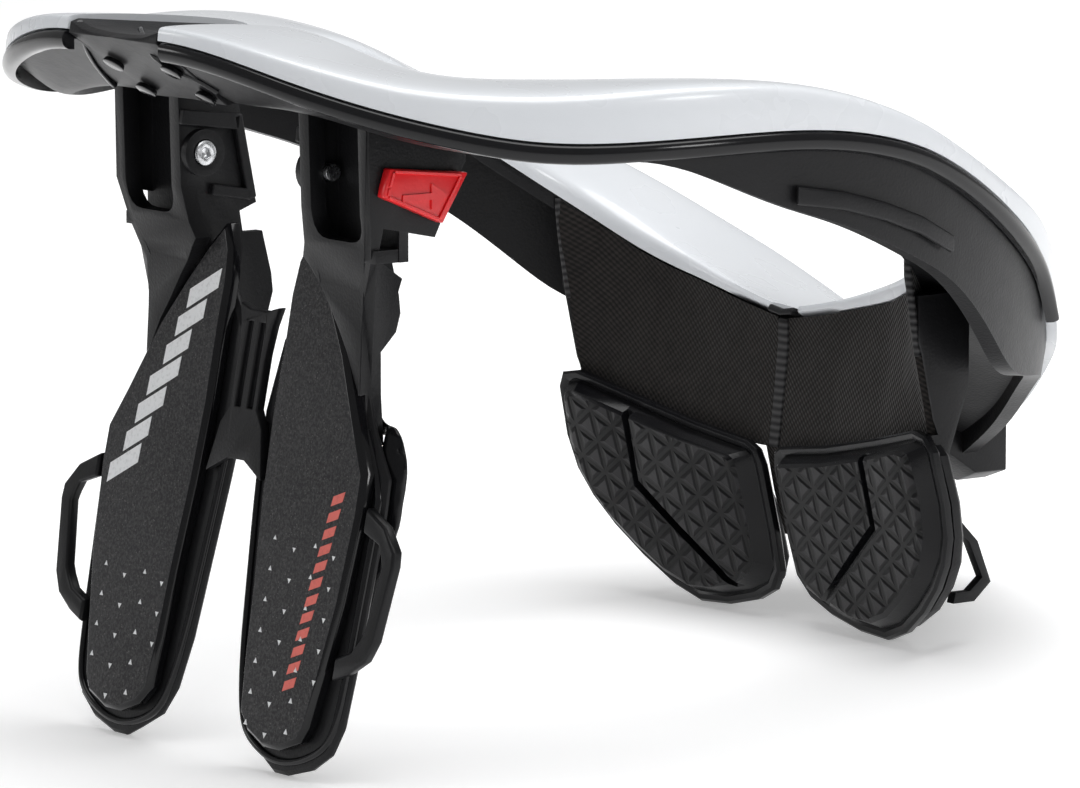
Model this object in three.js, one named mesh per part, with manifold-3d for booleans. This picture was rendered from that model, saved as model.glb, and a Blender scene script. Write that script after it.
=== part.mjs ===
// Motocross neck brace, all lengths in millimetres.
// The brace is drawn in its worn frame: X to the wearer's right, Y to the front, Z up, with the
// neck's axis at X = 0, Y = 0 and the collar's shoulder level near Z = 0. The last lines pitch the
// whole brace until its two legs and two chest pads stand level on one surface.
import * as THREE from 'three';
import { mergeVertices } from 'three/addons/utils/BufferGeometryUtils.js';
import Module from 'manifold-3d';

const wasm = await Module();
wasm.setup();

// Collar ring
const COLLAR_SIDE = 133;
const COLLAR_FRONT = 155;
const COLLAR_REAR = 143;
const COLLAR_FRONT_POWER = 1.9;
const COLLAR_REAR_POWER = 2.43;
const OPENING_SIDE = 85;
const OPENING_FRONT = 87;
const OPENING_REAR = 87;
const OPENING_FRONT_POWER = 4.5;
const OPENING_REAR_POWER = 2.4;
const COLLAR_DROP = 114;
const PAD_FACE = 14;
const PAD_ROUND = 3.5;
const PAD_CROWN = 1.2;
const BAND = 7;
const SKIRT_DEEP = 38;
const TUCK = 24;
const SKIRT_WALL = 5;
const CHASSIS_PLATE = 4.5;
const CHASSIS_INSET = 3;
const INNER_INSET = 2;
const RIM_TALL = 5.5;
const RIM_PROUD = 1;
const RIM_START = 9;
const RIM_END = 143;
const BRIDGE_HALF_ANGLE = 8.3;
const BRIDGE_VALLEY = 2.6;
const LATCH_HALF_ANGLE = 3.6;
const COLLAR_STEP = 6.5;
const CLEAR = 0.3;

// Side bars on the skirt
const BAR_START = 84;
const BAR_END = 110;
const BAR_TALL = 5.5;
const BAR_PROUD = 1.6;
const BAR_BELOW_FACE = 18;
const BAR_DROP_REAR = 11.5;
const BAR_DROP_FRONT = 8.5;

// Legs
const LEG_APART = 38.5;
const LEG_WIDE = 57;
const LEG_TOP = -52;
const LEG_LONG = 141;
const LEG_TOP_Y = -92;
const LEG_LEAN = 11.5;
const PANEL_THICK = 4;
const PANEL_BEVEL = 1.4;
const FLANGE_THICK = 3;
const LEG_PAD_THICK = 5.5;
const BRACKET_MEDIAL = 28.3;
const BRACKET_LATERAL = 59.5;
const BRACKET_WALL = 3;
const BRACKET_REAR = -102;
const SLOT_SIDE = 4.4;
const SLOT_DEEP = 34;
const BOLT_Y = -94.6;
const BOLT_Z = -33;
const BOLT_RADIUS = 2.4;
const BOLT_HEAD = 3.5;
const BOSS_RADIUS = 6.5;
const BOSS_TALL = 2.5;
const TAB_THICK = 3.2;
const TAB_STEM = 6;
const TAB_REACH = 7;
const LOOP_THICK = 3.3;
const LOOP_BAR = 5;
const LOOP_REACH = 15.5;
const LOOP_TALL = 46;
const LOOP_TOP = -119;
const WEB_TOP = -72;
const WEB_TALL = 46;
const WEB_NOTCH = 4.5;
const WEB_THICK = 2.8;
const WEB_GROOVE = 2.6;
const WEB_APART = 2.8;

// Chest
const CHEST_Y = 76.4;
const CHEST_WRAP = 5.6;
const CHEST_LEAN = 13.8;
const CHEST_TOP = -112;
const CHEST_WIDE = 85;
const CHEST_TALL = 67;
const CHEST_PAD_BACK = 3;
const CHEST_PAD_PROUD = 5.5;
const CHEST_PLATE_THICK = 3.5;
const HANGER_X = 64;
const HANGER_WIDE = 17;
const HANGER_DEEP = 13;
const HANGER_TALL = 38;
const HANGER_FOOT = 10;
const GROOVE_WIDE = 3;
const GROOVE_DEEP = 3;
const FABRIC_THICK = 2;
const FABRIC_START = 130;
const FABRIC_TUCK = 1.2;
const SEAM_PROUD = 0.5;
const SEAM_WIDE = 4.4;
const CHEST_LOOP_REACH = 15;
const CHEST_LOOP_TALL = 26;
const CHEST_LOOP_X = 68;
const CHEST_LOOP_Z = -150.5;

const radians = THREE.MathUtils.degToRad;
const lerp = THREE.MathUtils.lerp;

// Sections of the collar from the rear (0 degrees) to the front (180). top and crest are the outer
// and inner top edges as shares of COLLAR_DROP, face is the light face as a share of PAD_FACE,
// skirt the dark wall below it as a share of SKIRT_DEEP, tuck how far its foot is drawn in as a
// share of TUCK, and band the light inner wall as a share of BAND.
const COLLAR_SECTIONS = [
  { at: 0, top: 0.07, face: 0.25, skirt: 0.5, tuck: 1, crest: 0.038, band: 0.9 },
  { at: 15, top: 0.065, face: 0.3, skirt: 0.48, tuck: 0.92, crest: 0.018, band: 1 },
  { at: 22, top: 0.038, face: 0.37, skirt: 0.37, tuck: 0.83, crest: -0.01, band: 1 },
  { at: 29, top: 0.008, face: 0.46, skirt: 0.3, tuck: 0.66, crest: -0.04, band: 1 },
  { at: 39, top: -0.038, face: 0.54, skirt: 0.24, tuck: 0.4, crest: -0.061, band: 1 },
  { at: 51, top: -0.054, face: 0.85, skirt: 0.165, tuck: 0.2, crest: -0.062, band: 1 },
  { at: 57, top: -0.054, face: 0.93, skirt: 0.155, tuck: 0.12, crest: -0.064, band: 1 },
  { at: 66, top: -0.043, face: 1, skirt: 0.145, tuck: 0.04, crest: -0.068, band: 1 },
  { at: 77, top: -0.041, face: 0.96, skirt: 0.42, tuck: 0.03, crest: -0.08, band: 1 },
  { at: 85, top: -0.055, face: 0.86, skirt: 0.59, tuck: 0.03, crest: -0.097, band: 1 },
  { at: 92, top: -0.083, face: 0.74, skirt: 0.665, tuck: 0.03, crest: -0.123, band: 1 },
  { at: 103, top: -0.153, face: 0.57, skirt: 0.78, tuck: 0.04, crest: -0.197, band: 1 },
  { at: 113, top: -0.25, face: 0.49, skirt: 0.78, tuck: 0.06, crest: -0.3, band: 1 },
  { at: 123, top: -0.342, face: 0.61, skirt: 0.9, tuck: 0.1, crest: -0.4, band: 1 },
  { at: 130, top: -0.402, face: 0.75, skirt: 1, tuck: 0.12, crest: -0.474, band: 1 },
  { at: 136, top: -0.456, face: 0.93, skirt: 0.85, tuck: 0.12, crest: -0.535, band: 1 },
  { at: 142, top: -0.526, face: 1.4, skirt: 0.5, tuck: 0.08, crest: -0.596, band: 0.95 },
  { at: 148, top: -0.605, face: 1.5, skirt: 0.29, tuck: 0.06, crest: -0.64, band: 0.85 },
  { at: 157, top: -0.719, face: 1.25, skirt: 0.16, tuck: 0.06, crest: -0.685, band: 0.65 },
  { at: 165, top: -0.833, face: 1.14, skirt: 0.13, tuck: 0.06, crest: -0.72, band: 0.5 },
  { at: 172, top: -0.921, face: 1.3, skirt: 0.13, tuck: 0.06, crest: -0.742, band: 0.45 },
  { at: 180, top: -0.99, face: 1.25, skirt: 0.16, tuck: 0.06, crest: -0.76, band: 0.4 },
];

// Outlines of one leg's layers. down is the share of LEG_LONG below the leg's top, and medial and
// lateral are the edges beside the leg's centre line as shares of LEG_WIDE.
const PANEL_ROWS = [
  { down: 0, medial: -0.34, lateral: -0.31 },
  { down: 0.045, medial: -0.4, lateral: -0.2 },
  { down: 0.11, medial: -0.42, lateral: -0.07 },
  { down: 0.2, medial: -0.415, lateral: 0.09 },
  { down: 0.34, medial: -0.42, lateral: 0.28 },
  { down: 0.415, medial: -0.41, lateral: 0.39 },
  { down: 0.49, medial: -0.4, lateral: 0.395 },
  { down: 0.66, medial: -0.355, lateral: 0.36 },
  { down: 0.795, medial: -0.33, lateral: 0.3 },
  { down: 0.895, medial: -0.3, lateral: 0.25 },
  { down: 0.928, medial: -0.22, lateral: 0.2 },
  { down: 0.95, medial: -0.08, lateral: 0.05 },
];
const FLANGE_ROWS = [
  { down: 0.1, medial: -0.3, lateral: -0.1 },
  { down: 0.2, medial: -0.52, lateral: 0.09 },
  { down: 0.34, medial: -0.58, lateral: 0.29 },
  { down: 0.425, medial: -0.565, lateral: 0.46 },
  { down: 0.49, medial: -0.55, lateral: 0.47 },
  { down: 0.66, medial: -0.5, lateral: 0.45 },
  { down: 0.795, medial: -0.46, lateral: 0.435 },
  { down: 0.895, medial: -0.4, lateral: 0.415 },
  { down: 0.945, medial: -0.32, lateral: 0.36 },
  { down: 0.98, medial: -0.16, lateral: 0.23 },
  { down: 1, medial: -0.06, lateral: 0.05 },
];
const LEG_PAD_ROWS = [
  { down: 0.3, medial: -0.15, lateral: 0.17 },
  { down: 0.33, medial: -0.34, lateral: 0.38 },
  { down: 0.4, medial: -0.41, lateral: 0.49 },
  { down: 0.52, medial: -0.41, lateral: 0.49 },
  { down: 0.64, medial: -0.38, lateral: 0.43 },
  { down: 0.76, medial: -0.35, lateral: 0.34 },
  { down: 0.82, medial: -0.27, lateral: 0.24 },
  { down: 0.85, medial: -0.12, lateral: 0.1 },
];

// Stations of the bracket's rear wall: down and edges as above, rear is how far its rear face
// stands forward of BRACKET_REAR and deep its thickness.
const BRACKET_ROWS = [
  { down: -0.31, medial: -0.179, lateral: 0.368, rear: 0, deep: 5 },
  { down: -0.07, medial: -0.179, lateral: 0.333, rear: 1, deep: 5 },
  { down: 0, medial: -0.2, lateral: 0.28, rear: 2.8, deep: 5 },
  { down: 0.07, medial: -0.28, lateral: 0.22, rear: 5, deep: 5 },
  { down: 0.16, medial: -0.38, lateral: 0.2, rear: 5, deep: 6.5 },
  { down: 0.28, medial: -0.42, lateral: 0.2, rear: 4, deep: 7.5 },
  { down: 0.37, medial: -0.42, lateral: 0.28, rear: 1.5, deep: 7.5 },
];

// Web between the legs: half its width, down its height.
const WEB_ROWS = [
  { down: 0, half: 9 },
  { down: 0.12, half: 7.2 },
  { down: 0.3, half: 6.2 },
  { down: 0.6, half: 6.2 },
  { down: 0.7, half: 9.6 },
  { down: 1, half: 13 },
];

// Side plates of the bracket, as points forward of BRACKET_REAR and below the leg's top.
const LATERAL_PLATE = [
  [0.5, 44], [31, 44], [32.6, 23], [22.3, 3], [5.5, 6.5], [5.5, -2],
  [17.5, -8.5], [8.4, -37], [4.5, -40], [5.5, -14], [3.5, -2], [1, 10],
];
const MEDIAL_PLATE = [
  [0.5, 44], [18, 44], [20.6, 30], [26, 4], [20.5, 2], [21.5, -4],
  [28, -4], [31, -16], [31.5, -21], [30, -26], [22, -34], [8, -40], [5.5, -14], [3.5, -2], [1, 10],
];
const TAB_OUTLINE = [
  [5.3, 22.8], [30.9, 20.1], [22.5, 7], [3, 15.2], [3.7, 18],
];

// Chest pad outline: across as shares of CHEST_WIDE, down as shares of CHEST_TALL below CHEST_TOP.
const CHEST_OUTLINE = [
  [0.09, 0.2], [0.35, 0.155], [0.65, 0.075], [0.9, 0], [0.97, 0.015], [1, 0.08],
  [1.01, 0.3], [0.99, 0.45], [0.94, 0.57], [0.86, 0.69], [0.75, 0.81], [0.62, 0.92],
  [0.5, 0.975], [0.35, 0.965], [0.2, 0.92], [0.1, 0.86], [0.045, 0.77], [0.035, 0.6], [0.035, 0.3],
  [0.05, 0.23],
];
const CHEST_GROOVE = [
  [0.63, 0.1], [0.635, 0.46], [0.2, 0.9],
];
const PLATE_OUTLINE = [
  [0.14, 0.3], [0.45, 0.2], [0.7, 0.1], [0.93, 0.03], [0.985, 0.1],
  [1, 0.3], [0.98, 0.45], [0.935, 0.575], [0.86, 0.69], [0.75, 0.805], [0.61, 0.9],
  [0.49, 0.95], [0.35, 0.94], [0.2, 0.88], [0.12, 0.82], [0.075, 0.72], [0.075, 0.5],
];

// Value of one column of a table between its rows, on a smooth curve through them.
function columnAt(table, key, at, name) {
  const last = table.length - 1;
  let i = table.findIndex((row) => row[key] > at) - 1;
  if (i < 0) i = at < table[0][key] ? 0 : last - 1;
  const a = table[i];
  const b = table[i + 1];
  const before = table[Math.max(i - 1, 0)];
  const after = table[Math.min(i + 2, last)];
  const span = b[key] - a[key];
  const slopeA = ((b[name] - before[name]) / (b[key] - before[key])) * span;
  const slopeB = ((after[name] - a[name]) / (after[key] - a[key])) * span;
  const u = THREE.MathUtils.clamp((at - a[key]) / span, 0, 1);
  const curve = 2 * u ** 3 - 3 * u ** 2;
  return (curve + 1) * a[name] - curve * b[name]
    + (u ** 3 - 2 * u ** 2 + u) * slopeA + (u ** 3 - u ** 2) * slopeB;
}

// Point of a rounded outline in the direction of a bearing, 0 at the rear and 180 in front.
function planPoint(bearing, side, front, rear, frontPower, rearPower) {
  const angle = radians(bearing - 90);
  const along = Math.sin(angle);
  const across = Math.cos(angle);
  const length = along > 0 ? front : rear;
  const power = along > 0 ? frontPower : rearPower;
  const share = (Math.abs(across) / side) ** power + (Math.abs(along) / length) ** power;
  const radius = share ** (-1 / power);
  return new THREE.Vector2(across * radius, along * radius);
}

function outerPoint(bearing) {
  return planPoint(bearing, COLLAR_SIDE, COLLAR_FRONT, COLLAR_REAR, COLLAR_FRONT_POWER, COLLAR_REAR_POWER);
}

function innerPoint(bearing) {
  return planPoint(bearing, OPENING_SIDE, OPENING_FRONT, OPENING_REAR, OPENING_FRONT_POWER, OPENING_REAR_POWER);
}

// Heights and widths of the collar at one bearing.
function collarSection(bearing) {
  const at = bearing > 180 ? 360 - bearing : Math.abs(bearing);
  const column = (name) => columnAt(COLLAR_SECTIONS, 'at', at, name);
  const outer = outerPoint(at);
  const inner = innerPoint(at);
  if (bearing < 0 || bearing > 180) {
    outer.x = -outer.x;
    inner.x = -inner.x;
  }
  const wide = outer.distanceTo(inner);
  const top = column('top') * COLLAR_DROP;
  const crest = column('crest') * COLLAR_DROP;
  const faceFoot = top - column('face') * PAD_FACE;
  const bandFoot = crest - column('band') * BAND;
  const skirtFoot = faceFoot - column('skirt') * SKIRT_DEEP;
  const tuck = CHASSIS_INSET + column('tuck') * TUCK;
  const bottomAt = (deep) => lerp(faceFoot, bandFoot, deep / wide);
  return { outer, inner, wide, top, crest, faceFoot, bandFoot, skirtFoot, tuck, bottomAt };
}

// Three-dimensional ring of a section's outline given as [distance in from the outer edge, height].
function ringOf(section, outline) {
  const inward = section.inner.clone().sub(section.outer).normalize();
  return outline.map(([deep, height]) => {
    const point = section.outer.clone().addScaledVector(inward, deep);
    return new THREE.Vector3(point.x, point.y, height);
  });
}

// Closed solid through rings that all have the same number of points, with flat ends. flat gives
// the outline that an end is divided into triangles by.
function loft(rings, flatStart, flatEnd) {
  const count = rings[0].length;
  const positions = rings.flat().flatMap((p) => [p.x, p.y, p.z]);
  const index = [];
  for (let r = 0; r < rings.length - 1; r += 1) {
    for (let i = 0; i < count; i += 1) {
      const a = r * count + i;
      const b = r * count + ((i + 1) % count);
      index.push(a, b, b + count, a, b + count, a + count);
    }
  }
  const cap = (flat, offset, turned) => {
    const contour = flat.map(([x, y]) => new THREE.Vector2(x, y));
    for (const [a, b, c] of THREE.ShapeUtils.triangulateShape(contour, [])) {
      index.push(...(turned ? [a, c, b] : [a, b, c]).map((i) => i + offset));
    }
  };
  const clockwise = THREE.ShapeUtils.area(flatStart.map(([x, y]) => new THREE.Vector2(x, y))) < 0;
  cap(flatStart, 0, !clockwise);
  cap(flatEnd, (rings.length - 1) * count, clockwise);
  return outwards(geometryOf(positions, index));
}

function geometryOf(positions, index) {
  const geometry = new THREE.BufferGeometry();
  geometry.setAttribute('position', new THREE.Float32BufferAttribute(positions, 3));
  geometry.setIndex(index);
  return geometry;
}

function signedVolume(geometry) {
  const p = geometry.getAttribute('position');
  const index = geometry.getIndex().array;
  const [a, b, c] = [new THREE.Vector3(), new THREE.Vector3(), new THREE.Vector3()];
  let volume = 0;
  for (let i = 0; i < index.length; i += 3) {
    a.fromBufferAttribute(p, index[i]);
    b.fromBufferAttribute(p, index[i + 1]);
    c.fromBufferAttribute(p, index[i + 2]);
    volume += a.dot(b.cross(c)) / 6;
  }
  return volume;
}

function turnedOver(geometry) {
  const index = Array.from(geometry.getIndex().array);
  for (let i = 0; i < index.length; i += 3) {
    [index[i + 1], index[i + 2]] = [index[i + 2], index[i + 1]];
  }
  geometry.setIndex(index);
  return geometry;
}

function outwards(geometry) {
  return signedVolume(geometry) < 0 ? turnedOver(geometry) : geometry;
}

function mirrored(geometry) {
  const copy = welded(geometry);
  copy.scale(-1, 1, 1);
  return turnedOver(copy);
}

// Welded copy of a geometry that holds its positions only.
function welded(geometry) {
  const copy = geometry.clone();
  copy.deleteAttribute('normal');
  copy.deleteAttribute('uv');
  return mergeVertices(copy, 1e-4);
}

function solidOf(geometry) {
  const closed = outwards(welded(geometry));
  return new wasm.Manifold(new wasm.Mesh({
    numProp: 3,
    vertProperties: new Float32Array(closed.getAttribute('position').array),
    triVerts: new Uint32Array(closed.getIndex().array),
  }));
}

function geometryFrom(solid) {
  const mesh = solid.getMesh();
  return geometryOf(Array.from(mesh.vertProperties), Array.from(mesh.triVerts));
}

// The largest body of a solid, without slivers or closed hollows that joins and cuts have left.
function largestOf(solid) {
  const bodies = solid.decompose();
  return bodies.reduce((best, body) => (body.volume() > best.volume() ? body : best));
}

function box(x0, x1, y0, y1, z0, z1) {
  const geometry = new THREE.BoxGeometry(x1 - x0, y1 - y0, z1 - z0);
  geometry.translate((x0 + x1) / 2, (y0 + y1) / 2, (z0 + z1) / 2);
  return geometry;
}

// Plate between two X values whose outline lies in the Y-Z plane.
function sidePlate(points, x0, x1) {
  const shape = new THREE.Shape(points.map(([y, z]) => new THREE.Vector2(y, z)));
  const geometry = new THREE.ExtrudeGeometry(shape, { depth: x1 - x0, bevelEnabled: false });
  const turn = new THREE.Matrix4().makeBasis(
    new THREE.Vector3(0, 1, 0), new THREE.Vector3(0, 0, 1), new THREE.Vector3(1, 0, 0),
  );
  geometry.applyMatrix4(turn);
  geometry.translate(x0, 0, 0);
  return geometry;
}

// Cylinder along X.
function rodAlongX(radius, x0, x1, y, z, sides = 20) {
  const geometry = new THREE.CylinderGeometry(radius, radius, x1 - x0, sides);
  geometry.rotateZ(Math.PI / 2);
  geometry.translate((x0 + x1) / 2, y, z);
  return geometry;
}

// Outline moved inwards by a distance along the normals of its corners.
function insetOutline(outline, distance) {
  const turn = Math.sign(THREE.ShapeUtils.area(outline.map(([x, y]) => new THREE.Vector2(x, y))));
  return outline.map(([x, z], i) => {
    const [px, pz] = outline[(i + outline.length - 1) % outline.length];
    const [nx, nz] = outline[(i + 1) % outline.length];
    const a = new THREE.Vector2(x - px, z - pz).normalize();
    const b = new THREE.Vector2(nx - x, nz - z).normalize();
    const tangent = a.clone().add(b).normalize();
    const reach = distance / Math.max(0.55, tangent.dot(a));
    return [x - tangent.y * reach * turn, z + tangent.x * reach * turn];
  });
}

function scaledOutline(outline, share) {
  const cx = outline.reduce((sum, [x]) => sum + x, 0) / outline.length;
  const cz = outline.reduce((sum, [, z]) => sum + z, 0) / outline.length;
  return outline.map(([x, z]) => [lerp(cx, x, share), lerp(cz, z, share)]);
}

// Closed cushion or plate built of layers that follow a face: each layer is an outline inset by a
// distance or shrunk by a share, and stands at a depth from that face along Y.
function layered(outline, layers, faceY) {
  const rings = layers.map(({ inset = 0, shrink = 1, deep }) => {
    const shaped = scaledOutline(insetOutline(outline, inset), shrink);
    return shaped.map(([x, z]) => new THREE.Vector3(x, faceY(x, z) + deep, z));
  });
  return loft(rings, outline, outline);
}

// Bearings from start to end, with every whole step between them, so that pieces that lie against
// each other share their sections.
function bearingsBetween(start, end, step) {
  const first = Math.floor(start / step + 0.25) + 1;
  const last = Math.ceil(end / step - 0.25) - 1;
  const whole = Array.from({ length: Math.max(last - first + 1, 0) }, (_, i) => (first + i) * step);
  return [start, ...whole, end];
}

// Collar pieces of the right half, lofted from one bearing to another.
function collarLoft(start, end, outlineOf, step = COLLAR_STEP) {
  const stations = bearingsBetween(start, end, step);
  const outlines = stations.map((at) => outlineOf(collarSection(at), at));
  const rings = stations.map((at, i) => ringOf(collarSection(at), outlines[i]));
  return loft(rings, outlines[0], outlines[outlines.length - 1]);
}

function padOutline(s) {
  const round = Math.min(PAD_ROUND, 0.42 * (s.top - s.faceFoot));
  const topAt = (deep) => lerp(s.top, s.crest, deep / s.wide);
  const crown = (deep) => topAt(deep) + PAD_CROWN * Math.sin((Math.PI * deep) / s.wide);
  const rounding = Math.min(PAD_ROUND, 0.5 * (s.crest - s.bandFoot));
  return [
    [0, s.faceFoot],
    [0.2, s.top - round],
    [round * 0.35, s.top - round * 0.35],
    [round * 1.3, crown(round * 1.3)],
    [s.wide * 0.35, crown(s.wide * 0.35)],
    [s.wide * 0.7, crown(s.wide * 0.7)],
    [s.wide - rounding * 1.2, crown(s.wide - rounding * 1.2)],
    [s.wide - rounding * 0.3, s.crest - rounding * 0.3],
    [s.wide, s.crest - rounding],
    [s.wide, s.bandFoot],
    [CHASSIS_INSET, s.bottomAt(CHASSIS_INSET)],
  ];
}

// Underside of the chassis, from the skirt's foot to the inner lip.
function undersideOf(s) {
  const plate = (deep) => s.bottomAt(deep) - CLEAR - CHASSIS_PLATE;
  const wallIn = s.tuck + SKIRT_WALL;
  return [
    [s.tuck, s.skirtFoot],
    [wallIn, s.skirtFoot],
    [wallIn + 0.5, Math.max(plate(wallIn), s.skirtFoot + 0.6)],
    [s.wide - INNER_INSET, plate(s.wide)],
  ];
}

function chassisOutline(s) {
  return [
    [CHASSIS_INSET, s.bottomAt(CHASSIS_INSET) - CLEAR],
    [CHASSIS_INSET, s.bottomAt(CHASSIS_INSET) - CLEAR - 0.12 * (s.faceFoot - s.skirtFoot)],
    ...undersideOf(s),
    [s.wide - INNER_INSET, s.bottomAt(s.wide - INNER_INSET) - CLEAR],
  ];
}

// Everything above the chassis' underside: what sits under the collar is cut back to it.
function collarKeepOut(s) {
  const below = undersideOf(s).map(([deep, height]) => [deep, height - CLEAR]);
  const high = COLLAR_DROP / 2;
  return [
    [-SKIRT_WALL, high],
    [-SKIRT_WALL, s.skirtFoot - CLEAR],
    ...below,
    [s.wide + SKIRT_WALL, below[3][1]],
    [s.wide + SKIRT_WALL, high],
  ];
}

function rimOutline(s, bearing) {
  const fade = THREE.MathUtils.smoothstep(RIM_END - bearing, -1, 12);
  const tall = Math.min(RIM_TALL, 0.6 * (s.faceFoot - s.skirtFoot) + 2) * lerp(0.45, 1, fade);
  const high = s.faceFoot - CLEAR;
  const deep = CHASSIS_INSET - CLEAR;
  return [
    [-0.2, high],
    [-RIM_PROUD, high - tall * 0.3],
    [-RIM_PROUD, high - tall * 0.7],
    [0.4, high - tall],
    [deep, high - tall],
    [deep, s.bottomAt(deep) - CLEAR],
  ];
}

function bridgeOutline(s, bearing) {
  const dip = BRIDGE_VALLEY * Math.cos((Math.PI / 2) * (bearing / BRIDGE_HALF_ANGLE)) ** 0.5;
  const topAt = (deep) => lerp(s.top, s.crest, deep / s.wide) - 0.8 - dip;
  return [
    [0, s.faceFoot - 1],
    [0.6, topAt(0) - 1],
    [3, topAt(3)],
    [s.wide * 0.5, topAt(s.wide * 0.5) - dip * 0.4],
    [s.wide - 3, topAt(s.wide - 3)],
    [s.wide - 0.5, topAt(s.wide) - 2],
    [s.wide - 0.5, s.bandFoot - CHASSIS_PLATE],
    [s.tuck + SKIRT_WALL + 1, s.skirtFoot + 0.4],
    [s.tuck - 0.5, s.skirtFoot - 0.3],
  ];
}

function latchOutline(s) {
  const proud = LATCH_HALF_ANGLE * 1.9;
  return [
    [-proud, s.skirtFoot - 6],
    [-proud, s.skirtFoot + 8],
    [0, s.top - 2],
    [s.wide * 0.5, lerp(s.top, s.crest, 0.5) - 1],
    [s.wide + 1, s.crest - 0.5],
    [s.wide + FABRIC_THICK, s.crest - 1.5],
    [s.wide + FABRIC_THICK, s.bandFoot + 0.4],
    [s.wide - INNER_INSET - CLEAR, s.bandFoot + 0.4],
    [s.wide - INNER_INSET - CLEAR, s.bandFoot - CHASSIS_PLATE - 6],
    [s.wide - 5, s.bandFoot - CHASSIS_PLATE - 6],
    [4, s.skirtFoot - 6],
  ];
}

function barOutline(s, bearing) {
  const along = (bearing - BAR_START) / (BAR_END - BAR_START);
  const high = s.top - BAR_BELOW_FACE * lerp(1, s.top / s.faceFoot, 0.2) - lerp(BAR_DROP_REAR, BAR_DROP_FRONT, along);
  const out = CHASSIS_INSET - CLEAR;
  return [
    [out, high],
    [out - BAR_PROUD, high - 0.6],
    [out - BAR_PROUD, high - BAR_TALL + 0.6],
    [out, high - BAR_TALL],
  ];
}

// Leg pieces. The leg's rear face leans back as it goes down.
function legFaceY(x, z) {
  return LEG_TOP_Y + (z - LEG_TOP) * Math.tan(radians(LEG_LEAN));
}

function legOutline(rows) {
  const x = (share) => LEG_APART + share * LEG_WIDE;
  const z = (share) => LEG_TOP - share * LEG_LONG;
  const lateral = rows.map((row) => [x(row.lateral), z(row.down)]);
  const medial = rows.map((row) => [x(row.medial), z(row.down)]).reverse();
  return [...lateral, ...medial];
}

function legPanel() {
  return layered(legOutline(PANEL_ROWS), [
    { inset: PANEL_BEVEL, deep: 0 },
    { inset: 0.2, deep: PANEL_BEVEL * 0.7 },
    { deep: PANEL_BEVEL },
    { deep: PANEL_THICK },
  ], legFaceY);
}

function legPad() {
  const start = PANEL_THICK + CLEAR + FLANGE_THICK + CLEAR;
  const wallFoot = LEG_TOP - 0.37 * LEG_LONG;
  const wallKeepOut = box(0, LEG_APART + 0.3 * LEG_WIDE, BRACKET_REAR - 20, BRACKET_REAR + 11.8, wallFoot - 1, LEG_TOP);
  const cushion = layered(legOutline(LEG_PAD_ROWS), [
    { inset: 1.5, deep: start },
    { deep: start + 1.5 },
    { deep: start + LEG_PAD_THICK * 0.55 },
    { inset: 2.5, deep: start + LEG_PAD_THICK * 0.9 },
    { inset: 2.5, shrink: 0.9, deep: start + LEG_PAD_THICK },
  ], legFaceY);
  return geometryFrom(solidOf(cushion).subtract(solidOf(wallKeepOut)));
}

function bracketPoint([forward, up]) {
  return [BRACKET_REAR + forward, LEG_TOP + up];
}

// Bends the lateral plate inwards below the leg's top, along the edge of the bracket's rear wall.
function followWall(geometry) {
  const position = geometry.attributes.position;
  for (let i = 0; i < position.count; i += 1) {
    const below = LEG_TOP - position.getZ(i);
    const edge = LEG_APART + columnAt(BRACKET_ROWS, 'down', below / LEG_LONG, 'lateral') * LEG_WIDE;
    const share = THREE.MathUtils.clamp((below + 3) / 10, 0, 1);
    position.setX(i, position.getX(i) + share * Math.min(edge - BRACKET_LATERAL, 0));
  }
  return geometry;
}

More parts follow.
